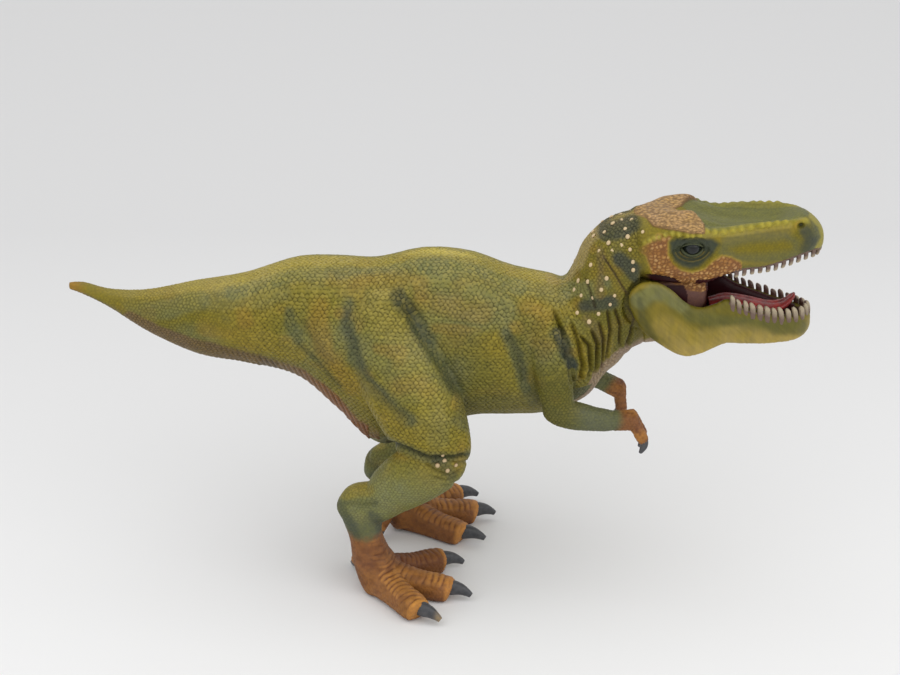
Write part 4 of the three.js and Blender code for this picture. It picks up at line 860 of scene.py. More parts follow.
# Brush strokes on the neck
NECK_STROKES = (
    ("tail_tip", 3, 5, 0.75, ((552, 280), (562, 281), (577, 265), (592, 236), (608, 222), (633, 212))),
    ("navy", 5, 7, 0.8, ((607, 231), (622, 229), (632, 222))),
    ("navy", 5, 7, 0.85, ((621, 262), (630, 268), (637, 276))),
    ("navy", 4, 7, 0.8, ((584, 306), (598, 305), (612, 301))),
    ("teal", 5, 7, 0.6, ((566, 290), (575, 290), (590, 290), (603, 283))),
    ("yellow", 3, 5, 0.6, ((592, 264), (598, 285), (602, 292))),
    ("yellow", 3, 5, 0.55, ((605, 258), (612, 272), (620, 288))),
    # Brown paint and painted shade in the folds of the neck
    ("brown", 2, 4, 0.5, ((600, 250), (601, 270), (600, 295))),
    ("brown", 0.5, 1.6, 0.6, ((603, 256), (607, 262), (615, 274), (622, 287), (627, 294))),
    ("yellow", 2.5, 5, 0.6, ((570, 330), (580, 345), (585, 365), (582, 380))),
    ("yellow", 2.5, 5, 0.5, ((603, 330), (608, 345), (606, 360))),
    ("brown", 2.5, 4, 0.4, ((587, 318), (596, 328), (601, 340))),
)
# Brush strokes on the head
HEAD_STROKES = (
    ("yellow", 3, 5, 0.7, ((712, 240), (740, 236), (770, 233), (790, 231))),
    ("yellow", 5, 9, 0.2, ((738, 249), (760, 248), (782, 245))),
    ("ankle", 1, 9, 0.5, ((722, 252), (726, 243), (742, 238.5), (765, 236.5), (786, 236), (797, 243),
        (796, 253),
                           (780, 259), (755, 262), (735, 261), (722, 252))),
    ("yellow", 1, 3, 0.5, ((735, 263), (770, 265), (795, 260))),
    ("teal", 2, 4, 0.7, ((742, 273), (770, 273), (790, 269), (804, 261), (815, 250))),
    ("navy", 3, 7, 0.75, ((806, 232), (811, 240), (806, 250))),
    ("knob", 1.5, 3, 0.6, ((812, 216), (821, 226), (824, 238), (818, 248))),
    # Painted highlight along the top of the near ridge
    ("top_highlight", 1, 3, 0.5, ((700, 236), (730, 234), (760, 230), (790, 225))),
)
# Brush strokes on the jaw
JAW_STROKES = (
    ("yellow", 2.0, 3, 0.8, ((629, 294), (638, 287), (653, 283), (666, 286), (676, 294))),
    ("teal", 5, 7, 0.55, ((640, 300), (652, 293), (668, 296), (682, 306))),
    ("arm", 4, 7, 0.8, ((690, 316), (715, 321), (745, 325), (775, 327), (800, 328))),
    ("jaw_low", 8, 10, 0.6, ((668, 328), (690, 342), (720, 340), (760, 340))),
    ("yellow", 5, 8, 0.5, ((660, 310), (675, 325), (690, 332))),
    # Painted shade in the fold at the back of the jaw
    ("crease_shade", 1.5, 3, 0.35, ((640, 300), (642, 320), (655, 338))),
)
# Folds of the neck: depth in millimetres, half width in pixels, points
NECK_FOLDS = (
    (0.9, 1.8, ((552, 305), (561, 330), (568, 352), (571, 386))),
    (0.7, 1.5, ((569, 316), (578, 343), (582, 365), (578, 388))),
    (0.7, 1.4, ((576, 332), (589, 346), (590, 370), (582, 388))),
    (0.7, 1.4, ((590, 327), (597, 344), (595, 368), (587, 388))),
    (0.6, 1.3, ((598, 318), (603, 338), (602, 359), (599, 372))),
    (0.6, 1.3, ((607, 308), (610, 330), (605, 362))),
    (0.6, 1.3, ((614, 307), (620, 325), (619, 347))),
    (0.6, 1.4, ((625, 303), (634, 317), (630, 335), (625, 347))),
    (0.3, 0.9, ((603, 256), (615, 274), (627, 294))),
    (0.35, 1.2, ((585, 276), (590, 292), (596, 310))),
)
# Grooves of the body: depth, half width in pixels, points
BODY_FOLDS = (
    (1.0, 6.0, ((400, 302), (411, 312), (424, 337), (438, 360), (450, 380), (459, 396))),
    (0.5, 5.0, ((347, 302), (346, 320), (353, 343), (358, 362), (371, 384), (390, 406), (424, 430))),
    (0.8, 4.0, ((507, 333), (516, 350), (523, 370), (525, 385))),
    (0.7, 3.5, ((554, 336), (562, 346), (568, 360))),
    (1.2, 2.2, ((385, 441), (405, 448), (428, 458), (456, 457), (469, 453))),
    (0.5, 1.2, ((430, 465), (444, 461), (460, 463), (468, 460))),
    (0.6, 1.5, ((424, 463), (436, 471), (450, 476), (464, 468))),
    (0.5, 1.2, ((432, 476), (446, 481), (460, 475))),
    (0.4, 1.1, ((440, 486), (452, 485), (462, 480))),
    (0.4, 3.0, ((341, 503), (356, 505), (380, 504))),
    (0.8, 5.0, ((300, 316), (308, 335), (320, 352), (334, 368))),
)
# Middle lines of the scutes under the tail, of the throat's strip and of the hollow in the snout's side
TAIL_EDGE = ((130, 318), (176, 339), (209, 348), (259, 361), (300, 374), (335, 400), (354, 424), (378, 437))
THROAT_EDGE = ((572, 402), (590, 386), (606, 368), (624, 353), (656, 343))
SNOUT_DIP = ((742, 250), (768, 248), (792, 243))
# Outlines of the head's patches
CREST = ((630, 180), (704.2, 180), (704.2, 233.4), (690, 233), (673.8, 230), (660.8, 228), (653.2, 225.8),
         (646.7, 218.2), (636, 215), (631, 208))
# The notch of the crest between its two prongs: place along X at the mid-plane, slope, the prongs' end
CREST_NOTCH, CREST_SLOPE, CREST_END = 98.0, 0.86, 109.5
CHEEK = ((635.9, 249.6), (645.6, 256), (649, 266), (652, 276.7), (657.6, 280), (670.6, 282),
         (684.7, 289.7), (701, 292), (712, 289), (716, 281), (723, 278), (735, 277), (746, 271),
         (741, 262), (731, 257), (722, 255.5), (712, 261.5), (704, 269), (692, 272.4), (681.4, 270.2),
         (673.8, 263.7), (668.4, 255), (668.4, 242), (672.7, 236), (657.6, 233.4), (650, 242))
SOCKET = ((669.5, 242), (676, 238), (700, 237), (714, 239), (720, 244), (714, 253), (706, 261), (699, 267),
          (690, 269), (681, 266), (674, 261), (670, 252))
SNOUT_TOP = ((672.7, 212.8), (690, 200), (760, 198), (800, 202), (810, 214), (796, 222), (786, 221),
             (770, 224), (750, 228), (730, 231), (710, 232), (704, 230), (694, 222.5), (681, 219.3))
NEAR_KNOBS = ((708, 233), (716, 233.5), (725, 233), (734, 232), (743, 230.5), (752, 229), (761, 227),
              (770, 225), (779, 223), (787, 222))
BROW_KNOBS = ((643, 243), (648, 239.5), (653, 237), (658, 236), (664, 236), (671, 235), (678, 235.5),
              (686, 236), (694, 236), (702, 235))
NECK_STUDS = ((620.7, 218.3), (630.5, 218.4), (611.6, 222.8), (603.7, 230.9), (623.9, 228), (626.9, 235.9),
              (641.3, 230.9), (592.8, 234.7), (607.8, 242.1), (620, 244), (597.9, 249.7), (611, 249.7),
              (628.9, 250.7), (633.9, 262.9), (634.3, 271.1), (589.6, 264.4), (577.2, 280.2),
              (586.5, 281.1), (605.4, 279.7), (572.9, 289.3), (580, 296), (590.8, 298.2), (600.1, 291.2),
              (615.9, 296.6), (611.1, 305.5), (575.9, 311.6), (599.2, 314.4), (589.9, 323.2))
KNEE_STUDS = ((436, 466), (445, 463), (449, 471.5), (457, 466), (443.6, 457.4))


def colours():
    """The scene's paints, by name, in linear light."""
    paints = bpy.context.scene.figure_paints
    return {key: np.array(getattr(paints, key)) for key in PAINTS}


PAINTS = {
    "olive": ("Olive", "Main coat of the body", "776e22"),
    "yellow": ("Yellow olive", "Brushed on the flanks and the jaw", "877624"),
    # A painted highlight along the top of the back, on the upward tops of the scales, down the thigh and
    # along the snout's ridge
    "top_highlight": ("Back yellow", "Along the top of the back", "aa9a4c"),
    # A painted highlight over the highest part of the back
    "sun": ("Light yellow", "Dry-brushed over the highest part of the back", "d2c05e"),
    "ochre": ("Ochre", "Blushes on hip and shoulder", "937029"),
    "teal": ("Grey teal", "Along the sides of the back", "74774d"),
    # Blue-grey paint and painted shade in the folds
    "stripe_and_shade": ("Blue grey", "Stripes in the folds", "4f563d"),
    # Painted shade in the deepest folds, the nostrils and the grooves of the lids
    "crease_shade": ("Dark wash", "In the deepest folds", "363b26"),
    # Also laid as painted shade under the arm, and with dark paint in the folds of the knee
    "navy": ("Navy", "Patches on the neck and the eye socket", "3a4139"),
    # Painted shade under the barrel
    "belly": ("Belly olive", "Underneath the barrel", "68622e"),
    # Also laid as painted shade beside the shoulder, low on the flank and on the neck where it faces down
    "arm": ("Arm green", "Arms, shoulders and neck", "5b5927"),
    "socket": ("Eye socket", "Round the eye", "3c4130"),
    "ankle": ("Ankle green", "Round the ankles and wrists", "5d6145"),
    # Paint and painted shade in the folds of the neck
    "brown": ("Fold brown", "In the folds of the neck", "6e5c3c"),
    "scute": ("Scute brown", "Underside of the tail", "75603c"),
    "scute_red": ("Scute red", "Underside of the tail root", "7d502c"),
    "throat": ("Throat", "Grainy strip of the throat", "a08c72"),
    "rust": ("Rust", "Feet and hands", "815532"),
    # Also laid as painted shade under the toes and next to the floor, and with dark paint in the grooves of
    # the feet and between the cheek's pebbles
    "rust_deep": ("Deep rust", "Grooves of the feet", "562e1e"),
    # On the crests, partly paint and partly painted highlight
    "rust_light": ("Light rust", "Crests of the scutes on the feet", "c0853f"),
    "crest": ("Crest", "Grainy patch over the head", "c8a068"),
    "cheek": ("Cheek rust", "Pebbled patch round the eye", "9a6c38"),
    "rim": ("Rim ochre", "Edges of the head's patches", "9a8230"),
    "snout": ("Snout olive", "Sides of the snout", "716612"),
    "snout_top": ("Snout teal", "Between the ridges of the snout", "6a6a35"),
    "snout_front": ("Snout tip", "Front of the snout", "595d46"),
    "knob": ("Knob yellow", "Knobs of the snout ridges", "a79a3a"),
    "jaw": ("Jaw", "Outside of the lower jaw", "665d18"),
    "jaw_low": ("Jaw underside", "Lower part of the lower jaw", "a18c45"),
    "maroon": ("Maroon", "Inside of the mouth", "381114"),
    "membrane": ("Cheek skin", "Skin in the corner of the mouth", "6b4a3f"),
    "tail_tip": ("Tail tip", "End of the tail", "a8945c"),
    "tooth": ("Tooth", "Crowns of the teeth", "ab9d82"),
    # Laid darker at the foot of each tooth
    "tooth_root": ("Tooth root", "Stain at the foot of the teeth", "665044"),
    # Maroon paint and painted shade on the inner sides of the teeth
    "tooth_inside": ("Tooth inside", "Inner sides of the teeth", "4a2020"),
    "tongue": ("Tongue", "Tongue", "a2332e"),
    "tongue_dark": ("Tongue shade", "Hollows of the tongue", "6a2322"),
    "pupil": ("Pupil", "Middle of the eye", "060808"),
    "iris": ("Iris", "Ring of the eye", "141b1a"),
    "claw": ("Claw", "Claws", "35363a"),
    "claw_light": ("Claw streaks", "Streaks on the claws", "4b4b4d"),
    "claw_worn": ("Worn claw tip", "Tip of the near outer claw", "8f7a5a"),
    "stud": ("Stud", "Tops of the studs", "cdb58c"),
    "stud_foot": ("Stud foot", "Feet of the studs", "8a6a48"),
}


# --- node materials
class Wire:
    """A socket that can be reckoned with: an expression on it adds Math nodes."""

    def __init__(self, finish, socket):
        self.finish, self.socket = finish, socket

    def reckon(self, operation, *values):
        return self.finish.node("ShaderNodeMath", {"operation": operation}, dict(enumerate(values)))

    def __add__(self, other):
        return self.reckon("ADD", self, other)

    def __radd__(self, other):
        return self.reckon("ADD", other, self)

    def __sub__(self, other):
        return self.reckon("SUBTRACT", self, other)

    def __rsub__(self, other):
        return self.reckon("SUBTRACT", other, self)

    def __mul__(self, other):
        return self.reckon("MULTIPLY", self, other)

    def __rmul__(self, other):
        return self.reckon("MULTIPLY", other, self)


class Finish:
    """A node material in the making."""

    def __init__(self, name):
        self.material = bpy.data.materials.new(name)
        self.material.use_nodes = True
        self.tree = self.material.node_tree
        self.shader = self.tree.nodes["Principled BSDF"]

    def feed(self, socket, value):
        if isinstance(value, Wire):
            self.tree.links.new(value.socket, socket)
        elif hasattr(value, "__len__") and socket.type == "RGBA":
            socket.default_value = (*value[:3], 1.0)
        else:
            socket.default_value = value

    def node(self, kind, settings=None, inputs=None, output=0):
        made = self.tree.nodes.new(kind)
        for key, value in (settings or {}).items():
            setattr(made, key, value)
        for key, value in (inputs or {}).items():
            self.feed(made.inputs[key], value)
        return Wire(self, made.outputs[output])

    def place(self):
        return self.node("ShaderNodeTexCoord", output="Object")

    def noise(self, size, detail=2.0):
        """Noise with features of a size in millimetres."""
        inputs = {"Vector": self.place(), "Scale": 1 / (size * MM), "Detail": detail, "Roughness": 0.55}
        return self.node("ShaderNodeTexNoise", {}, inputs, "Fac")

    def cells(self, size, stretch):
        """Distance in cells of a size in millimetres, stretched along each axis."""
        vector = self.node("ShaderNodeMapping", {}, {"Vector": self.place(), "Scale": stretch})
        return self.node("ShaderNodeTexVoronoi", {}, {"Vector": vector, "Scale": 1 / (size * MM)}, "Distance")

    def attribute(self, name, output="Fac"):
        return self.node("ShaderNodeAttribute", {"attribute_name": name}, output=output)

    def graded(self, value, low, high, to_low, to_high):
        """A value carried from one range to another and held inside it."""
        return self.node("ShaderNodeMapRange", {}, {"Value": value, "From Min": low, "From Max": high,
                                                    "To Min": to_low, "To Max": to_high})

    def spread(self, noise, low, high):
        """Noise, which is mostly from 0.3 to 0.7, spread over a range."""
        return self.graded(noise, 0.3, 0.7, low, high)

    def mixed(self, share, first, second, way="MIX"):
        """Two colours mixed by a share."""
        made = self.tree.nodes.new("ShaderNodeMix")
        made.data_type = "RGBA"
        made.blend_type = way
        for place, value in ((0, share), (6, first), (7, second)):
            self.feed(made.inputs[place], value)
        return Wire(self, made.outputs[2])

    def tinted(self, coat, red, green, blue):
        """A colour times a tint of three values."""
        tint = self.node("ShaderNodeCombineColor", {}, {"Red": red, "Green": green, "Blue": blue})
        return self.mixed(1.0, coat, tint, "MULTIPLY")

    def bumped(self, height, depth):
        """A normal from a height from 0 to 1 that stands for a depth in millimetres."""
        return self.node("ShaderNodeBump", {}, {"Height": height, "Distance": depth * MM}, "Normal")

    def done(self, **sockets):
        for key, value in sockets.items():
            self.feed(self.shader.inputs[key.replace("_", " ")], value)
        return self.material


def skin_finish(name, roughness, fine_depth):
    """Painted vinyl: the brushed coat, broken up by fine mottling, with a matt grain that turns glossier on
    the worn tops of the scales."""
    f = Finish(name)
    mottle, broad = f.noise(1.1, 3.0), f.noise(9.0)
    coat = f.tinted(f.attribute("coat", "Color"), f.spread(mottle, 0.84, 1.12), f.spread(mottle, 0.86, 1.1),
                    f.spread(broad, 0.84, 1.16))
    grain_mask = f.attribute("grain")
    grain = 1 - f.graded(f.cells(0.95, (0.75, 1.0, 1.5)), 0.15, 0.75, 0, 1)
    coat = f.mixed(grain_mask * (1 - grain) * 0.75, coat, GRAIN_SHADE)
    rough = f.spread(f.noise(0.6), roughness - 0.08, roughness + 0.1) - f.attribute("relief") * 0.1
    height = f.noise(0.45) * 0.35 + grain * grain_mask * 4
    return f.done(Base_Color=coat, Roughness=rough, Specular_IOR_Level=0.2,
                  Normal=f.bumped(height, fine_depth))


# --- the skin
def from_pivot(points):
    """How far points are from the axis of the hinge, in millimetres."""
    return np.hypot(points[:, 0] - PIVOT[0], points[:, 2] - PIVOT[2])


def skull_share(x):
    """Places along X as shares of the skull's length."""
    return (x - SKULL_BASE[0]) / SKULL_LENGTH


def carve(co):
    """Presses the hollows into the fused skin: the recesses of the jaw, the palate, eye pits and nostrils.
    Each moves the points inside a cutter's outline onto the cutter's own surface."""
    x, y, z = co.T
    side, out = np.where(y < 0, -1.0, 1.0), np.abs(y)
    in_recess = (from_pivot(co) < RECESS_DIAMETER / 2) & (out > RECESS_SPREAD / 2)
    out = np.where(in_recess, RECESS_SPREAD / 2, out)
    share = skull_share(x)
    head = skull_at(np.clip(share, 0, 1))
    lip = head[:, 2] - head[:, 4]
    edge = ease(0, 0.9, np.interp(share, *zip(*PALATE_SHARES)) * (head[:, 3] - LIP_WALL) - out)
    edge = edge * ease(PALATE_FROM, PALATE_FROM + 0.04, share)
    edge = edge * (1 - ease(PALATE_TO - 0.04, PALATE_TO, share))
    under = (z < lip + PALATE_HOLLOW) & (share > PALATE_FROM) & (share < PALATE_TO)
    z = np.where(under, np.maximum(z, lip + PALATE_HOLLOW * edge), z)
    dx = (x - EYE_AT[0]) / (EYE_PIT_LENGTH / 2)
    dz = (z - EYE_AT[2] + EYE_PIT_DROP) / (EYE_PIT_HEIGHT / 2)
    pit = SKULL_WIDTH / 2 - EYE_PIT_DEPTH * np.sqrt(np.clip(1 - dx * dx - dz * dz, 0, 1))
    out = np.where((dx * dx + dz * dz < 1) & (out > pit), pit, out)
    off = np.hypot(x - NOSTRIL_AT[0], (z - NOSTRIL_AT[2]) * 1.5)
    dent = 1 - ease(NOSTRIL_DIAMETER * 0.1, NOSTRIL_DIAMETER * 0.5, off)
    out = out - np.where((share > 0.7) & (out > 3), NOSTRIL_DEPTH * dent, 0)
    return np.stack([x, side * out, z], -1)


def toe_lines(leg):
    """The line of each toe of a leg, from its root to its claw."""
    ends = [(foot_point(leg, angle, -3, 8), foot_point(leg, angle, length * TOE_LENGTH, 5))
            for angle, (_, length) in zip(leg["toes"], TOES)]
    return ends + [(foot_point(leg, REAR_TOE_ANGLE, REAR_TOE_ROOT, 10),
                    foot_point(leg, REAR_TOE_ANGLE, REAR_TOE_ROOT + REAR_TOE_LENGTH, 5))]


def along_line(points, start, end):
    """How far along a straight line each point is, in millimetres, and how far off it."""
    ab = end - start
    length = np.linalg.norm(ab)
    t = (points - start) @ (ab / length)
    off = points - start - np.clip(t, 0, length)[:, None] * (ab / length)
    return t, np.linalg.norm(off, axis=1)


def foot_ribs(co, normals):
    """The wavy crosswise scutes over toes and instep. Height is a rounded saw of the way along the toe, or
    of the height over the floor on the instep. Returns height, how much it shows, and a share for the
    claw's end."""
    height, shown, ending = np.zeros((3, len(co)))
    wave = wander(co, 3.5, 5) * 0.55 + wander(co, 9, 6) * 0.5
    for leg in LEGS.values():
        limit, lines = leg["rust_below"], toe_lines(leg)
        mine = np.flatnonzero((co[:, 1] * leg["side"] > 0) & (co[:, 2] < limit + 16))
        p, z = co[mine], co[mine, 2]
        t, off = np.swapaxes([along_line(p, *ends) for ends in lines], 0, 1)
        nearest = off.argmin(0)
        along = t[nearest, np.arange(len(p))]
        to_end = np.array([np.linalg.norm(end - start) for start, end in lines])[nearest] - along
        low = 1 - ease(10.5, 14.5, z)
        phase = low * along / RIB_PITCH + (1 - low) * z / RIB_PITCH + 1.35 * wave[mine]
        groove = 1 - np.sin(np.pi * (phase - np.floor(phase))) ** 0.5
        height[mine] = 1 - groove * (0.45 + 0.55 * ease(0.3, 0.6, wander(p, 2.2, 15)))
        on_toe = ease(0.25, 0.7, normals[mine, 2] + 0.25 * (wave[mine] - 0.5))
        facing = np.where(low > 0.5, on_toe, ease(-0.25, 0.3, normals[mine, 0]))
        shown[mine] = facing * (1 - ease(limit - 4, limit + 8, z))
        ending[mine] = low * (1 - ease(0.4, 1.8, to_end))
    return height, shown, ending


def arm_mask(co):
    """1 on the arms, fading out towards the shoulders."""
    x, y, z = co.T
    out = np.abs(y)
    arm = np.zeros(len(co))
    near = np.flatnonzero((x > 40) & (z < 104) & (out > 12))
    lower = 1 - ease(86, 96, z[near] + 3 * wander(co[near], 5, 8))
    for row in ARMS.values():
        shoulder, elbow, wrist = arm_joints(row)
        upper = along_line(co[near], shoulder, elbow)[1]
        fore = along_line(co[near], elbow, wrist + (wrist - elbow))[1] + 1.5
        arm[near] = np.maximum(arm[near], (1 - ease(7.5, 10, np.minimum(upper, fore))) * lower)
    return np.maximum(arm, (z < 80) & (x > 62) & (out > 14))


def skin_relief(co, normals, pixels):
    """Heights over the smooth form, in millimetres, with the masks that the paint reads."""
    x, y, z = co.T
    out, up = np.abs(y), normals[:, 2]
    head = ease(84, 89, x) * ease(84, 92, z)
    neck = ease(60, 72, x) * ease(84, 94, z) * (1 - head)
    arm = arm_mask(co)
    low_leg = 1 - ease(48, 62, z)
    tip = 1 - ease(-116, -92, x)
    bent = co + 0.9 * np.stack([wander(co, 7, seed) for seed in (1, 2, 3)], -1)
    slim = 1 - ease(-82, -48, x + 8 * (wander(co, 5, 4) - 0.5))
    body = (1 - head) * (1 - neck) * (1 - low_leg) * (1 - arm) * (1 - slim)
    finer = np.clip(neck + low_leg + arm + slim, 0, 1) * (1 - head)
    big, small, lit, fold = np.zeros((4, len(co)))
    own = np.full(len(co), 0.5)
    mine = np.flatnonzero(body > 0.01)
    gap, share, rise = plates(bent[mine], normals[mine], *BODY_SCALES)
    big[mine] = ease(0.0, 0.32, gap) * (0.92 + 0.14 * share - 0.22 * rise)
    lit[mine] = ease(-0.65, 0.65, rise) * body[mine]
    own[mine] = share
    mine = np.flatnonzero((body < 0.99) | (head > 0))
    gap, share, rise = plates(bent[mine], normals[mine], *FINE_SCALES)
    small[mine] = ease(0.0, 0.45, gap) * (0.8 + 0.3 * share)
    high = (0.34 + 0.16 * ease(0.5, 0.9, up)) * (0.6 + 0.4 * ease(-70, -35, x))
    relief = high * big * body + small * finer * (0.17 + 0.1 * slim + 0.08 * arm - 0.16 * tip)
    relief += 0.2 * small * neck * ease(0.0, 0.6, up)
    scale = np.clip(big * body * 1.12 + small * finer, 0, 1)
    scale = scale + (1 - scale) * np.clip(head + 0.7 * tip + 0.2 * finer, 0, 1)
    on_neck = np.flatnonzero((x > 55) & (z > 84) & (x < 97))
    for depth, half, line in NECK_FOLDS:
        away, share = line_distance(pixels[on_neck], line)
        shape = bell(away, 0, half) * ease(0, 0.15, share) * (1 - ease(0.9, 1, share))
        lips = bell(away, 2.4 * half, 1.3 * half) * ease(0, 0.15, share)
        relief[on_neck] += (0.6 * depth * lips - 1.5 * depth * shape) * (1 - head[on_neck])
        fold[on_neck] = np.maximum(fold[on_neck], shape)
    on_body = np.flatnonzero((x < 72) & (arm < 0.5))
    for depth, half, line in BODY_FOLDS:
        away, share = line_distance(pixels[on_body], line)
        shape = bell(away, 0, half) * ease(0, 0.12, share) * (1 - ease(0.88, 1, share))
        relief[on_body] = relief[on_body] * (1 - 0.6 * shape) - depth * shape * ease(4, 9, out[on_body])
        fold[on_body] = np.maximum(fold[on_body], 0.6 * shape)
    ribs, rib_shown, claw_rim = foot_ribs(co, normals)
    relief = relief * (1 - rib_shown) + rib_shown * RIB_HEIGHT * ribs + 0.25 * claw_rim
    scutes = ease(0.45, 0.8, -up) * (x < -8) * (z > 55)
    edge = (x < -12) & (z > 52)
    away = line_distance(pixels[edge], TAIL_EDGE)[0]
    scutes[edge] = np.maximum(scutes[edge], 1 - ease(5.5, 9, away + 2.5 * wander(co[edge], 4, 9)))
    phase = (x + 0.25 * z) / SCUTE_PITCH
    bar = np.sin(np.pi * (phase - np.floor(phase))) ** 0.6
    relief = relief * (1 - scutes) + scutes * (0.2 * small + 0.5 * bar * ease(-90, -35, x))
    return relief, dict(head=head, neck=neck, arm=arm, low_leg=low_leg, scale=scale, own=own, fold=fold,
                        ribs=ribs, rib_shown=rib_shown, claw_rim=claw_rim, scutes=scutes, scute_bar=bar,
                        fine=small, lit=lit, body=body)


def place_on(co, normals, pixels, depth, target):
    """The nearest point of the near side of the skin under a pixel of the main view, and its normal."""
    beside = np.abs(pixels[:, 0] - target[0]) < PIXEL_REACH
    close = np.flatnonzero(beside & (np.abs(pixels[:, 1] - target[1]) < PIXEL_REACH) & (co[:, 1] < 0))
    if not len(close):
        return None
    best = close[np.argmin(depth[close])]
    return co[best], normals[best]


def ridge_distance(near):
    """How far points of the near side are from the middle line of the snout's ridge, in millimetres."""
    snout = RIDGE_SHARES[3:]
    rows = np.array([(s[0], out * s[3], s[2] + up * s[4])
                     for (_, out, up, _), s in zip(snout, skull_at([row[0] for row in snout]))])
    return np.min([along_line(near * (1, -1, 1), a, b)[1] for a, b in zip(rows[:-1], rows[1:])], axis=0)


def head_relief(co, normals, pixels, depth, masks):
    """The head's own relief: crest, knobs of brow and snout, rings of the lids, a fine leathery grain and
    the pebbled cheek, with the masks that go with them."""
    mine = np.flatnonzero(co[:, 0] > HEAD_FROM)
    p, px = co[mine], pixels[mine]
    x, out, z = p[:, 0], np.abs(p[:, 1]), p[:, 2]
    _, gap, own = pebbles(p, (1.5, 1.5, 1.3), 21, 0.8)
    pebble = ease(0.03, 0.45, gap) * (0.6 + 0.6 * own)
    cheek = ease(-0.6, 0.6, inside(px, CHEEK)) * (z > 108) * (x < 122)
    edge = np.minimum(CREST_NOTCH + CREST_SLOPE * out, CREST_END) + 0.8 * (wander(p, 1.6, 62) - 0.5)
    within = np.minimum(inside(px, CREST), (edge - x) * 2)
    crest = ease(-0.8, 0.8, within) * (z > 128)
    socket = ease(-2.5, 3, inside(px, SOCKET)) * (out > 8) * (z > 122)
    relief = 0.34 * pebble * cheek + 0.55 * crest * ease(-1, 2.5, within)
    relief += 1.3 * crest * bell(out, 8, 3.5) * ease(90, 97, x)
    around = np.hypot(x - EYE_AT[0], (z - EYE_AT[2]) * 1.15)
    lids = 0.6 * bell(around, 4.7, 0.5) + 0.5 * bell(around, 6.3, 0.45)
    lids = lids + 0.35 * bell(around, 7.7, 0.4) * (x < EYE_AT[0])
    relief += lids * (out > 9) * (z > 122)
    near = np.stack([x, -out, z], -1)
    knob = np.zeros(len(p))
    for targets, size in ((NEAR_KNOBS, 2.3), (BROW_KNOBS, 1.7)):
        for found in (place_on(co, normals, pixels, depth, target) for target in targets):
            if found is not None:
                knob = np.maximum(knob, bell(np.linalg.norm(near - found[0], axis=1), 0, 0.55 * size))
    relief += 1.05 * knob
    share = skull_share(x)
    hollow = np.exp(-(out / 7.5) ** 2.6) * ease(0.1, 0.25, share) * (1 - ease(0.72, 0.9, share))
    relief -= CROWN_HOLLOW * hollow * (z > 130)
    relief -= 0.55 * (1 - ease(3, 15, line_distance(px, SNOUT_DIP)[0])) * (out > 5)
    around = np.hypot(x - NOSTRIL_AT[0], (z - NOSTRIL_AT[2]) * 1.15)
    ring = bell(around, 2.1, 0.6) * (out > 3) * ease(-1.5, 1, z - NOSTRIL_AT[2])
    relief += 0.3 * ring + 0.07 * masks["fine"][mine] * (1 - cheek) * (1 - crest)
    full = {}
    for key, values in dict(relief=relief, within=np.maximum(-9, within) + CREST_EDGE, cheek=cheek,
                            crest=crest, ridge=1 - ease(0.8, 2.2, ridge_distance(near)), socket=socket,
                            knob=knob, pebble=pebble, lids=lids, ring=ring).items():
        full[key] = np.zeros(len(co))
        full[key][mine] = values
    return full.pop("relief"), full


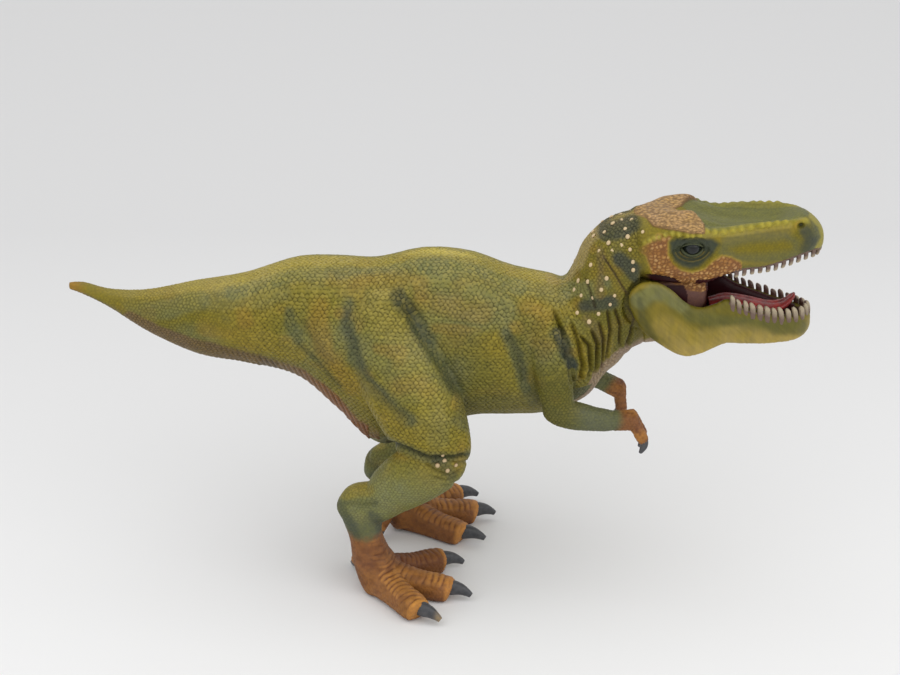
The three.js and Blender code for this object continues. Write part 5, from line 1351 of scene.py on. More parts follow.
def skin_coat(co, normals, pixels, masks):
    """The colour of every point: the olive coat, darker between the scales and in the folds, partly dark
    paint and partly painted shade, darker underneath as painted shade, with painted highlights on the upward
    tops and on the upper part of each scale, and the strokes and patches laid over it."""
    c = colours()
    x, y, z = co.T
    out, up = np.abs(y), normals[:, 2]
    head, neck, arm, low_leg, scutes, own, lit, scale, body, fold = (masks[key] for key in (
        "head", "neck", "arm", "low_leg", "scutes", "own", "lit", "scale", "body", "fold"))
    drift, patch = wander(co, (18, 18, 14), 31), wander(co, (7, 7, 5), 32)
    # Darker underneath and on the neck where it faces down, as painted shade, and a painted highlight where
    # the back faces up
    coat = layered(np.tile(c["olive"], (len(co), 1)), (
        ("yellow", ease(0.45, 0.75, drift) * 0.6), ("teal", (1 - ease(0.2, 0.45, drift)) * 0.55),
        ("ochre", ease(0.58, 0.85, patch) * 0.35), ("teal", (1 - ease(0.2, 0.4, patch)) * 0.25),
        ("belly", ease(-0.1, 0.75, -up) * 0.85), ("arm", arm * 0.75), ("teal", low_leg * 0.55),
        ("arm", neck * 0.35 * (1 - ease(0.1, 0.7, up))),
        ("top_highlight", ease(0.7, 0.98, up) * 0.6 * ease(-118, -90, x) * (1 - arm)),
        ("ochre", 1 - ease(-120, -113, x))))
    mine = np.flatnonzero((head < 0.5) & (arm < 0.5))
    brushed(coat, mine, pixels, BODY_STROKES, (patch[mine] - 0.5) * 0.8, ease(3, 7, out[mine]))
    mine = np.flatnonzero((x > 50) & (z > 84))
    brushed(coat, mine, pixels, NECK_STROKES, patch[mine] - 0.5, 1 - head[mine])
    throat = ease(0.1, 0.6, -up) * (1 - ease(6, 9, out)) * (x > 62) * (z > 78) * (z < 118)
    mine = np.flatnonzero((x > 50) & (z > 70) & (z < 118) & (arm < 0.6) & (out < 16))
    away = line_distance(pixels[mine], THROAT_EDGE)[0]
    throat[mine] = np.maximum(throat[mine], 1 - ease(6.5, 9, away + 3 * patch[mine]))
    masks["throat"] = throat
    coat = layered(coat, (("throat", throat), ("scute", scutes), ("scute_red", scutes * ease(-45, -22, x))))
    # Darker in the grooves between the scutes and between the fine scales under the tail: painted shade
    saw = (1 - masks["scute_bar"]) * ease(-100, -40, x)
    coat *= (1 - scutes * (0.5 * saw + 0.3 * (1 - masks["fine"]) * (x < -45)))[:, None]
    plain = (1 - head) * (1 - 0.4 * scutes)
    coat *= 1 + 0.16 * ((own - 0.5) * plain)[:, None]
    # Dark paint and painted shade between the scales; each scale's upper part lighter as a painted highlight
    # and its lower edge darker as painted shade
    wash_and_shade = (1 - scale) * (1 + body * (0.25 - 0.7 * lit))
    coat *= 1 - wash_and_shade[:, None] * WASH_AND_SHADE + 0.06
    coat *= 1 + 0.3 * ((lit - 0.5) * body)[:, None]
    # Painted light: the upper shank is lightened
    coat *= 1 + 0.18 * (low_leg * ease(28, 38, z))[:, None]
    # Painted highlight on the tops of the scales that face up, and brown paint and painted shade in the folds
    # of the neck
    tops = ease(0.8, 1.0, scale) * own * plain * (1 - low_leg) * (1 - 0.7 * neck)
    coat = layered(coat, (
        ("top_highlight", (0.08 + 0.34 * ease(0.2, 0.9, up)) * tops * ease(-110, -70, x)),
        (c["brown"] * 0.6, 0.6 * fold * neck)))
    # Painted shade in the folds
    coat *= (1 - 0.4 * fold)[:, None]
    wrist, hand = np.zeros((2, len(co)))
    for row in ARMS.values():
        mine = np.flatnonzero((y * row["side"] > 0) & (arm > 0.5))
        _, elbow, end = arm_joints(row)
        t = along_line(co[mine], elbow, end)[0]
        rust_at = np.linalg.norm(end - elbow) + row["rust_from"]
        wrist[mine] = ease(0, 11, t)
        hand[mine] = ease(rust_at - 1, rust_at + 3, t + 2 * patch[mine])
    coat = layered(coat, (
        (c["ankle"] * 1.1, wrist * 0.8), ("rust", hand), ("rust_light", hand * 0.55 * ease(0.3, 0.65, patch)),
        ("rust_deep", hand * 0.5 * ease(0.5, 0.8, wander(co, (1.4, 1.4, 1.1), 18)))))
    foot_coat(coat, co, normals, pixels, masks, drift, patch)
    head_coat(coat, co, normals, pixels, masks, drift, patch)
    return coat


def foot_coat(coat, co, normals, pixels, masks, drift, patch):
    """Lays the green of the ankles and the rust of the feet over the coat of the legs, with painted shade on
    the heel, in the grooves of the scutes, on the undersides of the toes and next to the floor, and lighter
    crests that are partly paint and partly painted highlight.
    """
    c = colours()
    for leg in LEGS.values():
        limit, right, lines = leg["rust_below"], leg["side"] < 0, toe_lines(leg)
        mine = np.flatnonzero((co[:, 1] * leg["side"] > 0) & (co[:, 2] < limit + 25))
        p, z, spot = co[mine], co[mine, 2], patch[mine]
        height = z + 5 * (spot - 0.5) + 3 * (wander(p, 1.6, 17) - 0.5)
        rust = 1 - ease(limit - 3, limit + 3, height)
        ribs, shown = masks["ribs"][mine], masks["rib_shown"][mine]
        toes = 1 - ease(9, 15, z)
        along, off = along_line(p, *lines[2])
        inner = (1 - ease(4.5, 8, off)) * ease(4, 10, along)
        flank = ease(0.1, 0.7, 0.5 - normals[mine, 2]) * (along_line(p, *lines[1])[1] < 8)
        heel = [("navy", 0.55 * (1 - ease(2, 8, line_distance(pixels[mine], line)[0])))
                for line in HEEL_SHADES]
        coat[mine] = layered(coat[mine], (
            ("ankle", 0.75 * (1 - ease(limit + 4, limit + 13, height))), *heel,
            (c["rust"] * (0.85 + 0.3 * drift[mine])[:, None], rust),
            # Crests lighter, partly paint and partly painted highlight; grooves darker, partly paint and
            # partly painted shade
            ("rust_light", rust * (0.25 * toes + 0.5 * ease(0.6, 1, ribs * shown) * ease(0.2, 0.6, spot))),
            ("rust_deep", 0.75 * rust * ease(0.3, 0.9, (1 - ribs) * shown)),
            ("rust_deep", 0.3 * rust * ease(0.5, 0.75, wander(p, (1.6, 1.6, 1.2), 16))),
            ("rust_deep", rust * inner * (0.7 if right else 0.15)),
            # Painted shade on the sides and undersides of the toes; the left foot darker all over
            ("rust_deep", rust * np.clip(0.35 * flank * toes + (0 if right else 0.22), 0, 1)),
            (c["rust_light"] * 1.1, 0.6 * rust * masks["claw_rim"][mine]),
            # Painted shade next to the floor
            ("rust_deep", 0.6 * rust * (1 - ease(0.4, 2.2, z)))))


def head_coat(coat, co, normals, pixels, masks, drift, patch):
    """Lays the colours of the head over those of the body, with dark paint and painted shade between the fine
    scales and between the cheek's pebbles, and painted shade in the nostrils and in the jaw's recess.
    """
    c = colours()
    mine = np.flatnonzero(co[:, 0] > HEAD_FROM)
    x, y, z = co[mine].T
    px, out, ahead, up = pixels[mine], np.abs(y), normals[mine, 0], normals[mine, 2]
    m = {key: value[mine] for key, value in masks.items()}
    skin = layered(np.tile(c["snout"], (len(mine), 1)), (
        ("yellow", ease(0.5, 0.8, drift[mine]) * 0.5),
        ("snout_top", ease(-2, 2, inside(px, SNOUT_TOP)) * ease(0.2, 0.6, up)),
        ("snout_front", ease(143, 150, x) * 0.85)))
    # Darker between the fine scales: dark paint and painted shade
    skin *= (0.8 + 0.3 * m["fine"])[:, None]
    streak = wander(co[mine] * np.array([0.14, 1, 1]), 0.9, 61)
    skin *= (1 + 0.3 * (streak - 0.5) * ease(0.4, 0.8, up))[:, None]
    share = skull_share(x)
    section = skull_at(np.clip(share, 0, 1))
    lip = section[:, 2] - section[:, 4]
    by_lip = (1 - ease(1.0, 4.5, z - lip)) * ease(0.42, 0.5, share) * 0.65
    skin = layered(skin, (("knob", 0.68 * m["ridge"]), (c["teal"] * 0.75, by_lip)))
    brushed(skin, slice(None), px, HEAD_STROKES, (patch[mine] - 0.5) * 0.6)
    head = ease(84, 90, x) * ease(115, 119, z)
    face = np.maximum(head, ease(94, 97, x) * (z > 106) * (out > 8))
    membrane = (z < 119) * (x > 92) * (out > 8) * (z > 98) * (1 - ease(0.3, 0.7, ahead))
    cheek, pebble = m["cheek"] * face, m["pebble"]
    rim = bell(np.minimum(np.abs(inside(px, CHEEK)), 9), 0, 1.1) * (z > 108) * (x < 122) * (out > 12.2)
    off = np.hypot(x - NOSTRIL_AT[0], 1.5 * (z - NOSTRIL_AT[2]))
    roof = ease(0.35, 0.6, -up) * (z < lip + PALATE_HOLLOW + 1.5)
    roof = roof * (out < section[:, 3] - 1.6) * (share > 0.3)
    mouth_wall = (z < 118.5) * (x > 99) * (out < 11.8) * ease(0.2, 0.6, ahead)
    recess = from_pivot(co[mine]) < RECESS_DIAMETER / 2 + 0.2
    recess = recess & (out < RECESS_SPREAD / 2 + 0.15) & (out > 10)
    coat[mine] = layered(coat[mine], (
        (skin, head), ("membrane", membrane * ease(93, 99, x + (z - 105) * 0.3)), ("cheek", cheek),
        # The cheek's pebbles lighter on top and darker between them: paint, painted highlight and painted
        # shade
        ("crest", 0.6 * cheek * ease(0.65, 1.05, pebble)),
        ("rust_deep", 0.55 * cheek * (1 - ease(0.1, 0.5, pebble))), ("rim", 0.85 * rim * face),
        ("socket", m["socket"] * face),
        ("rim", 0.35 * ease(0.3, 0.5, m["lids"]) * face * (out > 9) * (z < 132)), ("crest", m["crest"]),
        ("rust_deep", 0.6 * bell(m["within"], CREST_EDGE, 0.9) * (z > 128) * face),
        ("knob", m["knob"] * (1 - m["crest"]) * face),
        ("rim", 0.85 * m["ring"] * (share > 0.7) * ease(1, -1.5, x - NOSTRIL_AT[0])),
        # Painted shade in the nostrils
        (c["crease_shade"] * 0.5, 0.9 * (1 - ease(0.2, 1.3, off)) * (out > 3)),
        ("maroon", np.maximum(roof, mouth_wall)),
        # Painted shade in the jaw's recess, darker than the maroon paint
        (c["maroon"] * 0.8, recess * ease(86, 90, x) * (z > 103))))


def skin_pieces():
    """Works out the whole skin: its points, quads, normals and attributes, and what the studs look up."""
    sizes = bpy.context.scene.figure_sizes
    voxel = sizes.grid * 1000
    forms = [trunk_form(), loft(skull_stations(), 8, 96, "upright"), brow_form(-1), brow_form(1),
             block_form()]
    forms += [form for leg in LEGS.values() for form in leg_forms(leg)]
    forms += [form for arm in ARMS.values() for form in arm_forms(arm)]
    co, quads = fused(forms, voxel)
    edges = edges_of(quads)
    x, _, z = co.T
    delicate = np.max([ease(84, 88, x) * (z > 86), 1 - ease(12, 18, z), (x > 60) * (z < 80),
                       1 - ease(-112, -95, x)], axis=0)
    co = relax(co, edges, 4, 0.5)
    co = relax(co, edges, int(round(7 / voxel ** 2 / 2)), 0.5 * (1 - delicate))
    co = relax(carve(co), edges, 1, 0.4)
    smooth = unit(relax(normals_of(co, quads), edges, 2, 0.6))
    pixels, depth = in_view(co)
    relief, masks = skin_relief(co, smooth, pixels)
    more, extra = head_relief(co, smooth, pixels, depth, masks)
    masks.update(extra)
    in_recess = (from_pivot(co) < RECESS_DIAMETER / 2 + 0.6) & (np.abs(co[:, 1]) < 12.4)
    relief = (relief * sizes.scale_height / DRAWN_HEIGHT + more) * ease(0.0, 1.2, co[:, 2]) * ~in_recess
    shaped = held_in_box(co + smooth * (relief - 0.12)[:, None], OFF_FLOOR)
    coat = skin_coat(co, smooth, pixels, masks)
    grain = np.clip(masks["crest"] + 0.6 * masks["throat"], 0, 1)
    attributes = {"coat": np.clip(coat, 0, 1), "relief": masks["scale"], "grain": grain}
    return shaped, quads, normals_of(shaped, quads), attributes, (smooth, pixels, depth)


def add_skin():
    """Shares the skin out into its pieces by where the middle of each quad lies, and adds the studs."""
    co, quads, normals, attributes, seen = skin_pieces()
    x, y, z = co[quads].mean(1).T
    labels = np.searchsorted(CUTS, x)
    labels = np.where((labels == HEAD) & (z < HAND_CUT), CHEST, labels)
    labels = np.where((labels == HIPS) & (y > 0), LEFT_HIP, labels)
    labels = np.where(z < LEG_CUT, np.where(y < 0, RIGHT_LEG, LEFT_LEG), labels)
    material = skin_finish("painted_skin", 0.54, 0.07)
    for label, points, own, tips, extra, normal in share_out(co, quads, labels, normals, attributes):
        name, nodes = SKIN_PIECES[int(label)]
        slot = "head_skin" if label == HEAD else "body_skin"
        piece(name, points, own, "figure", slot, material, nodes, tips, extra, normal)
    add_studs(co, *seen)


def turned(centres, widths, turn, first, second, square=1.0):
    """Points on rings round centres: the ring's width times the cosine along one way plus the sine along
    another, both to a power that squares the ring, keeping their signs."""
    across, deep = (np.sign(w) * np.abs(w) ** square for w in (np.cos(turn), np.sin(turn)))
    rim = across[:, None] * first + deep[:, None] * second
    return (centres[:, None] + widths[:, None, None] * rim).reshape(-1, 3)


def per_ring(values, sides):
    """A value for every point of a closed tube from one for each ring."""
    return np.concatenate([np.repeat(values, sides), values[:1], values[-1:]])


def add_studs(co, normals, pixels, depth):
    """Low round studs: each is a dome, radius times the cosine of its latitude out and the sine up."""
    rng = np.random.default_rng(7)
    turn = np.linspace(0, 2 * np.pi, 14, endpoint=False)
    rise = np.linspace(0.0, 1.0, 6)
    out = np.sqrt(np.clip(1 - rise ** 2, 0, 1))
    out[-1] = 0.12
    rings, widths = np.append(-STUD_SUNK, rise * STUD_HEIGHT), np.append(1.0, out)
    parts, cover = [], []
    for target in NECK_STUDS + KNEE_STUDS:
        found = place_on(co, normals, pixels, depth, target)
        if found is None:
            continue
        on_knee = target in KNEE_STUDS
        radius = rng.uniform(STUD_LEAST, STUD_MOST) * (1.1 if on_knee else 1.0)
        for side in (1, -1):
            at, up = found[0] * (1, side, 1), unit(found[1] * (1, side, 1))
            first = unit(np.cross(up, UP + 0.1))
            points = turned(at + (rings * radius)[:, None] * up, widths * radius, turn, first,
                            1.15 * np.cross(up, first))
            parts.append(closed_tube(points, len(rings), len(turn)))
            cover.append(per_ring(rings, len(turn)) * (0.4 if on_knee else 1.0))
    piece("studs", *merged(parts), "figure", "body_skin", stud_finish(),
          attributes={"crown": np.concatenate(cover)})


def stud_finish():
    """Cream paint brushed over the raised stud, thinner at its foot, with a rusty ring."""
    f, c = Finish("stud_cream"), colours()
    crown = f.graded(f.attribute("crown") + f.noise(0.8) * 0.3, 0.05, 0.45, 0, 1)
    coat = f.mixed(crown, c["stud_foot"], c["stud"])
    return f.done(Base_Color=coat, Roughness=f.spread(f.noise(0.5), 0.5, 0.65),
                  Normal=f.bumped(f.noise(0.4), 0.06))


# --- lower jaw, teeth, tongue, eyes, claws
def mandible_stations():
    """Sections round the horseshoe of the jaw, from the right end over the chin to the left: the hinge
    plus shares of reach, spread and depth."""
    def row(values, side):
        forward, out, top, bottom, wall = values
        return station(PIVOT[0] + forward * JAW_REACH, side * out * JAW_SPREAD / 2,
                       PIVOT[2] + (top + bottom) / 2 * JAW_DEPTH, wall * JAW_WALL / 2,
                       (top - bottom) / 2 * JAW_DEPTH, power=2.6, low=2.3)
    sides = [[row(values, side) for values in MANDIBLE_SHARES] for side in (-1, 1)]
    return sides[0] + [row(CHIN_SHARES, 0)] + sides[1][::-1]


def jaw_floor_form():
    """The floor of the mouth: flat sections, each hung below its top by its thickness."""
    rows = []
    for forward, out, top, thick in FLOOR_SHARES:
        half = thick * FLOOR_THICKNESS / 2
        rows.append(station(PIVOT[0] + forward * JAW_REACH, 0, PIVOT[2] + top * JAW_DEPTH - half,
                            out * JAW_SPREAD / 2, half, power=4, low=3))
    return loft(rows, 5, 48, "upright")


def lower_gum_path():
    """The line of the lower gum: the tops of the jaw's sections, moved out by a share of the wall and
    down by a share of the gum."""
    out = JAW_WALL * LOWER_OUT_SHARE
    return np.array([(s[0] + (out if s[1] == 0 else 0), s[1] + np.sign(s[1]) * out,
                      s[2] + s[4] - GUM_HEIGHT * LOWER_SEAT_SHARE)
                     for s in mandible_stations()[FIRST_TOOTHED:-FIRST_TOOTHED]])


def upper_gum_path():
    """The line of the upper gum: the lips of the skull's sections, in by half a wall and the seat's gap,
    and up by a share of the gum."""
    def row(share, side):
        s = skull_at(share)[0]
        return (s[0], side * (s[3] - LIP_WALL / 2 - SEAT_GAP), s[2] - s[4] + GUM_HEIGHT * UPPER_SEAT_SHARE)
    sides = [[row(share, side) for share in UPPER_GUM_SHARES] for side in (-1, 1)]
    return np.array(sides[0] + [row(UPPER_FRONT_SHARE, 0)] + sides[1][::-1])


def dense_path(path, count):
    """Evenly spaced points and directions along a smooth path, and its length."""
    rows = np.concatenate([path, np.zeros((len(path), 6))], 1)
    fine = between(rows, np.linspace(0, len(path) - 1, 400))[:, :3]
    run = np.concatenate([[0], np.cumsum(np.linalg.norm(np.diff(fine, axis=0), axis=1))])
    want = (np.arange(count) + 0.5) / count * run[-1]
    before, at, after = (np.stack([np.interp(want + off, run, fine[:, k]) for k in range(3)], -1)
                         for off in (-0.3, 0, 0.3))
    return at, unit(after - before), run[-1]


def tooth_row(path, toward, tall, wide, out, root, seed):
    """Rounded pillars along a gum: a section's half width is the tooth's times a blunt end curve, its
    centre leans back with the square of the way up, and each one differs a little. Gives the points and
    faces, the share up the tooth and how far each point is on its inner side."""
    rng = np.random.default_rng(seed)
    count = int(round(dense_path(path, 2)[2] / TOOTH_PITCH))
    at, along, _ = dense_path(path, count)
    up = np.linspace(-root, 1.0, 16)
    rise = np.clip(up, 0, 1)
    turn = np.linspace(0, 2 * np.pi, 16, endpoint=False)
    end = np.sqrt(np.clip(1 - np.maximum((up - TIP_FROM) / 0.46, 0) ** 2.4, 0.02, 1)) * 0.945
    blunt = np.where(up < TIP_FROM, 1.0 - 0.1 * np.maximum(up, 0), end)
    parts = []
    for i in range(count):
        front = 1 - abs(2 * (i + 0.5) / count - 1)
        height = tall * (0.78 + 0.22 * front) * rng.uniform(0.86, 1.1)
        half = wide / 2 * rng.uniform(0.9, 1.08)
        outward = unit(np.cross(along[i], UP))
        lean = rng.uniform(-0.12, 0.12) * height * rise
        back = TIP_BACK * height * rise ** 2
        centre = (at[i] + outward * out + toward * up[:, None] * height * UP + lean[:, None] * along[i]
                  - back[:, None] * np.array([1.0, 0, 0]))
        points = turned(centre, half * blunt, turn, 0.92 * along[i], 0.85 * outward, TOOTH_SQUARE)
        parts.append(closed_tube(points, len(up), len(turn)))
    inner = np.concatenate([np.tile(ease(-0.1, 0.5, -np.sin(turn)), len(up)), [0, 0]])
    return merged(parts), np.tile(per_ring(up, len(turn)), count), np.tile(inner, count)


def gum_strip(path, wide, high):
    """A soft bar along the gum."""
    return loft([station(*p, wide / 2, high / 2, power=3, low=3) for p in path], 10, 20, "plan")


def tooth_finish(name):
    """Bone paint, darker at the root and pale towards the tip, with streaks along the tooth, and inner sides
    that are maroon paint and painted shade.
    """
    f, c = Finish(name), colours()
    crown = f.graded(f.attribute("crown") + (f.noise(1.0) - 0.5) * 0.6, -0.15, 0.75, 0, 1)
    coat = f.mixed(crown, c["tooth_root"], c["tooth"])
    # Inner sides of the teeth: maroon paint and painted shade
    coat = f.mixed(f.attribute("inner") * 0.85, coat, c["tooth_inside"])
    coat = f.mixed(f.graded(f.noise(0.5, 3.0), 0.45, 0.75, 0, 0.35), coat, c["tooth_root"])
    return f.done(Base_Color=coat, Roughness=f.spread(f.noise(0.7), 0.32, 0.5),
                  Normal=f.bumped(f.noise(0.5, 3.0), 0.05))


def add_teeth():
    """Each row's figures: which way it points, height, width, outward place and root of a tooth, seed,
    width and height of the gum's bar, and its lift."""
    for name, path, figures, bar, lift, body, node in (
            ("upper_tooth_row", upper_gum_path(), (-1, 1.8, 1.8, 0.35, 1.0, 3), (1.8, 1.2), 1.5, "figure",
             "upper_teeth"),
            ("lower_tooth_row", lower_gum_path(), (1, 4.1, 2.5, 0.7, 0.8, 4), (2.5, 1.8), -0.7, "lower_jaw",
             "lower_teeth")):
        row, crown, inner = tooth_row(path, *figures)
        gum = gum_strip(path + UP * lift, *bar)
        points, faces = merged([row, gum])
        crown = np.append(crown, np.full(len(gum[0]), -0.2))
        inner = np.append(inner, np.full(len(gum[0]), 0.3))
        low, high = (v[2] / MM - shift()[2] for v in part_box(node))
        points[:, 2] = np.clip(points[:, 2], low - 2.5, high)
        piece(name, points, faces, body, "teeth", tooth_finish(name + "_paint"), (node,),
              attributes={"crown": crown, "inner": inner})


def add_jaw():
    """The jaw's skin: horseshoe and floor fused. Its relief is noise stretched along a slant outside, and
    a sine of the way along inside, where the paint is dark and wet."""
    c = colours()
    co, quads = fused([loft(mandible_stations(), 8, 48, "plan"), jaw_floor_form()],
                      JAW_GRID)
    edges = edges_of(quads)
    co = relax(co, edges, 6, 0.5)
    normals = unit(relax(normals_of(co, quads), edges, 2, 0.6))
    x, y, z = co.T
    rows = np.array(mandible_stations()[:len(MANDIBLE_SHARES) + 1])
    middle = np.interp(x, rows[:, 0], np.abs(rows[:, 1]))
    rim = np.interp(x, rows[:, 0], rows[:, 2] + rows[:, 4])
    inner = ease(-0.4, 0.9, middle - np.abs(y)) * (x < 145)
    inner = np.maximum(inner, (z > rim - 3.5) * ease(0.2, 0.7, -normals[:, 0]) * (x > 120))
    wet = inner * (z > rim - 16) * ease(-0.35, 0.1, normals[:, 2])
    mouth = np.maximum(wet, inner * ease(-0.2, 0.4, normals[:, 2])) * ease(96, 102, x)
    streak = wander(np.stack([x + z, y, (z - x) * 0.25], -1), (0.75, 2.5, 1.3), 41)
    fold = np.sin(2 * np.pi * (x + 0.35 * z) / 6.5) * 0.3
    relief = 0.2 * streak * (1 - mouth) + fold * mouth * ease(rim.min(), rim.max(), z) * 0.7
    patch = wander(co, (7, 7, 5), 42)
    coat = layered(np.tile(c["jaw"], (len(co), 1)), (
        ("jaw_low", 1 - ease(93, 101, z + 3 * (patch - 0.5) - 0.06 * (x - 110))),))
    brushed(coat, slice(None), in_view(co)[0], JAW_STROKES, patch - 0.5, 1 - mouth)
    coat = laid(coat * (0.86 + 0.28 * streak)[:, None], c["maroon"], mouth)
    piece("jaw_skin", held_in_box(co + normals * (relief - 0.08)[:, None]), quads, "lower_jaw", "jaw_skin",
          jaw_finish(), ("lower_jaw",), attributes={"coat": np.clip(coat, 0, 1), "wet": mouth})


def jaw_finish():
    """Smooth painted vinyl with brushed diagonal streaks, glossy and dark inside the mouth."""
    f = Finish("jaw_paint")
    place = f.node("ShaderNodeMapping", {}, {"Vector": f.place(), "Rotation": (0, math.radians(40), 0),
                                             "Scale": (1, 0.6, 0.18)})
    strokes = f.node("ShaderNodeTexNoise", {}, {"Vector": place, "Scale": 700.0, "Detail": 3.0}, "Fac")
    coat = f.tinted(f.attribute("coat", "Color"), f.spread(strokes, 0.88, 1.1), f.spread(strokes, 0.9, 1.08),
                    f.spread(f.noise(6.0), 0.8, 1.2))
    rough = f.spread(f.noise(0.8), 0.4, 0.52) - f.attribute("wet") * 0.08
    return f.done(Base_Color=coat, Roughness=rough, Specular_IOR_Level=0.24,
                  Normal=f.bumped(strokes * 0.5 + f.noise(0.5) * 0.3, 0.06))


def add_tongue():
    """A flat tapered form with a groove along its middle."""
    start = PIVOT + np.array([TONGUE_ROOT_FORWARD, 0, -TONGUE_ROOT_DROP])
    rows = [station(start[0] + a * TONGUE_LENGTH, 0, start[2] + r * TONGUE_THICKNESS, w * TONGUE_WIDTH / 2,
                    t * TONGUE_THICKNESS / 2) for a, r, w, t in TONGUE_SHARES]
    points, faces = loft(rows, 14, 64)
    middle = np.interp(points[:, 0], [row[0] for row in rows], [row[2] for row in rows])
    groove = bell(points[:, 1], 0, 0.8) * (points[:, 2] > middle)
    points = points - UP * (0.5 * groove + 0.12 * wander(points, 1.1, 51))[:, None]
    f, c = Finish("tongue_red"), colours()
    coat = f.mixed(f.graded(f.noise(2.5, 3.0), 0.35, 0.7, 0, 1), c["tongue"], c["tongue_dark"])
    material = f.done(Base_Color=coat, Roughness=f.spread(f.noise(0.8), 0.28, 0.42),
                      Normal=f.bumped(f.noise(0.7, 3.0), 0.12))
    piece("tongue_skin", points, faces, "lower_jaw", "tongue", material, ("tongue",))


def add_eyes():
    """Glass-like eyes: a sphere swollen a little over the iris, x, y and z from latitude and longitude."""
    f, c = Finish("eye_glass"), colours()
    coat = f.mixed(f.graded(f.attribute("iris"), 0.3, 0.62, 0, 1), c["pupil"], c["iris"])
    coat = f.mixed(f.graded(f.noise(0.5, 3.0), 0.4, 0.7, 0, 0.4), coat, c["pupil"])
    material = f.done(Base_Color=coat, Roughness=f.spread(f.noise(2.0), 0.16, 0.24), Coat_Weight=0.2,
                      Coat_Roughness=0.05, Specular_IOR_Level=0.3)
    rings, sides = 28, 40
    lat = np.linspace(0.02, np.pi - 0.02, rings)
    lon = 2 * np.pi * np.arange(sides) / sides
    radius = (EYE_DIAMETER / 2 - 0.15) * (1 + 0.04 * bell(lat, 0, 0.6))
    iris = np.concatenate([np.repeat(lat, sides), [0.0, np.pi]])
    for side, name in ((-1, "right_eye"), (1, "left_eye")):
        centre = EYE_AT + MID * side * EYE_SPREAD / 2
        axis = unit(np.array([0.12, side, 0.12]))
        first = unit(np.cross(axis, UP))
        points = turned(centre + (radius * np.cos(lat))[:, None] * axis, radius * np.sin(lat), lon, first,
                        np.cross(axis, first))
        piece(name + "_glass", *closed_tube(points, rings, sides), "figure", "eyes", material, (name,),
              attributes={"iris": iris})
        add_lids(name + "_lids", centre, side)


def add_lids(name, centre, side):
    """Upper and lower lid: shells round the eye, cut to an almond whose edge height is the cosine of the
    way across, with low rings that follow the edge."""
    c = colours()
    across = np.radians(np.linspace(-78, 78, 34))
    share = np.linspace(0, 1, 16)
    dark = np.append(np.tile(np.concatenate([share, share[::-1]]), len(across)), [0.5, 0.5])
    # Painted shade in the grooves between the lid's rings
    coat = layered(np.tile(c["socket"], (len(dark), 1)), (
        ("ankle", 0.5 * (1 - ease(0.0, 0.3, dark))),
        ("crease_shade", 0.5 * ease(0.5, 0.9, np.cos(dark * 6 * np.pi + np.pi)))))
    parts = []
    for lift, reach in ((34, 84), (-38, -84)):
        edge = np.radians(lift) * np.cos(across * 1.12)
        rise = edge[:, None] + (math.radians(reach) - edge[:, None]) * share
        outer = EYE_DIAMETER / 2 + 0.42 + 0.1 * np.cos(share * 6 * np.pi)[None, :]
        rise_round = np.concatenate([rise, rise[:, ::-1]], 1)
        out_round = np.concatenate([np.broadcast_to(outer, rise.shape),
                                    np.full(rise.shape, EYE_DIAMETER / 2 - 0.3)], 1)
        flat = np.cos(rise_round) * out_round
        shell = np.stack([np.sin(across)[:, None] * flat * 1.12, side * np.cos(across)[:, None] * flat,
                          np.sin(rise_round) * out_round], -1)
        parts.append(closed_tube(centre + shell.reshape(-1, 3), len(across), 2 * len(share)))
    none = np.zeros(2 * len(coat))
    piece(name, *merged(parts), "figure", "head_skin", bpy.data.materials["painted_skin"],
          attributes={"coat": np.tile(coat, (2, 1)), "relief": none, "grain": none})


def add_claws():
    """A horn for each claw, along its row of cross-sections."""
    f, c = Finish("claw_slate"), colours()
    coat = f.mixed(f.graded(f.noise(1.6, 3.0), 0.35, 0.7, 0, 1), c["claw"], c["claw_light"])
    coat = f.mixed(f.attribute("worn") * f.graded(f.noise(1.2), 0.3, 0.6, 0.4, 1), coat, c["claw_worn"])
    material = f.done(Base_Color=coat, Roughness=f.spread(f.noise(1.0), 0.34, 0.5),
                      Normal=f.bumped(f.noise(0.7, 3.0), 0.08))
    for leg_name, leg in LEGS.items():
        for (toe, length), angle in zip(TOES, leg["toes"]):
            rows = []
            for along, height, thick in CLAW_SHARES:
                reach = length * TOE_LENGTH - CLAW_SEAT + along * CLAW_LENGTH
                p = foot_point(leg, angle - np.sign(angle) * along * CLAW_SWING, reach, height * TOE_HEIGHT)
                rows.append(station(*p, thick * CLAW_WIDTH / 2, thick * CLAW_DEPTH / 2))
            add_claw(f"{leg_name}_{toe}_toe_claw", rows, material, (leg_name, toe) == WORN_CLAW)
        start = REAR_TOE_ROOT + REAR_TOE_LENGTH - CLAW_SEAT
        rows = [station(*foot_point(leg, REAR_TOE_ANGLE, start + a * REAR_CLAW_LENGTH, h * TOE_HEIGHT),
                        t * CLAW_WIDTH / 2, t * CLAW_WIDTH / 2) for a, h, t in REAR_CLAW_SHARES]
        add_claw(f"{leg_name}_rear_toe_claw", rows, material)
    for arm_name, arm in ARMS.items():
        for finger, sideways in (("outer", arm["side"]), ("inner", -arm["side"])):
            knuckle, tip, claw_tip = finger_points(arm, sideways)
            back = unit(knuckle - tip) * FINGER_CLAW_SEAT
            bend = tip + (claw_tip - tip) * CLAW_BEND_SHARE - back * CLAW_BEND_SHARE
            rows = [station(*p, share * FINGER_CLAW_WIDTH / 2, share * FINGER_CLAW_WIDTH / 2)
                    for p, share in zip((tip + back, tip, bend, claw_tip), FINGER_CLAW_SHARES)]
            add_claw(f"{arm_name}_{finger}_finger_claw", rows, material)


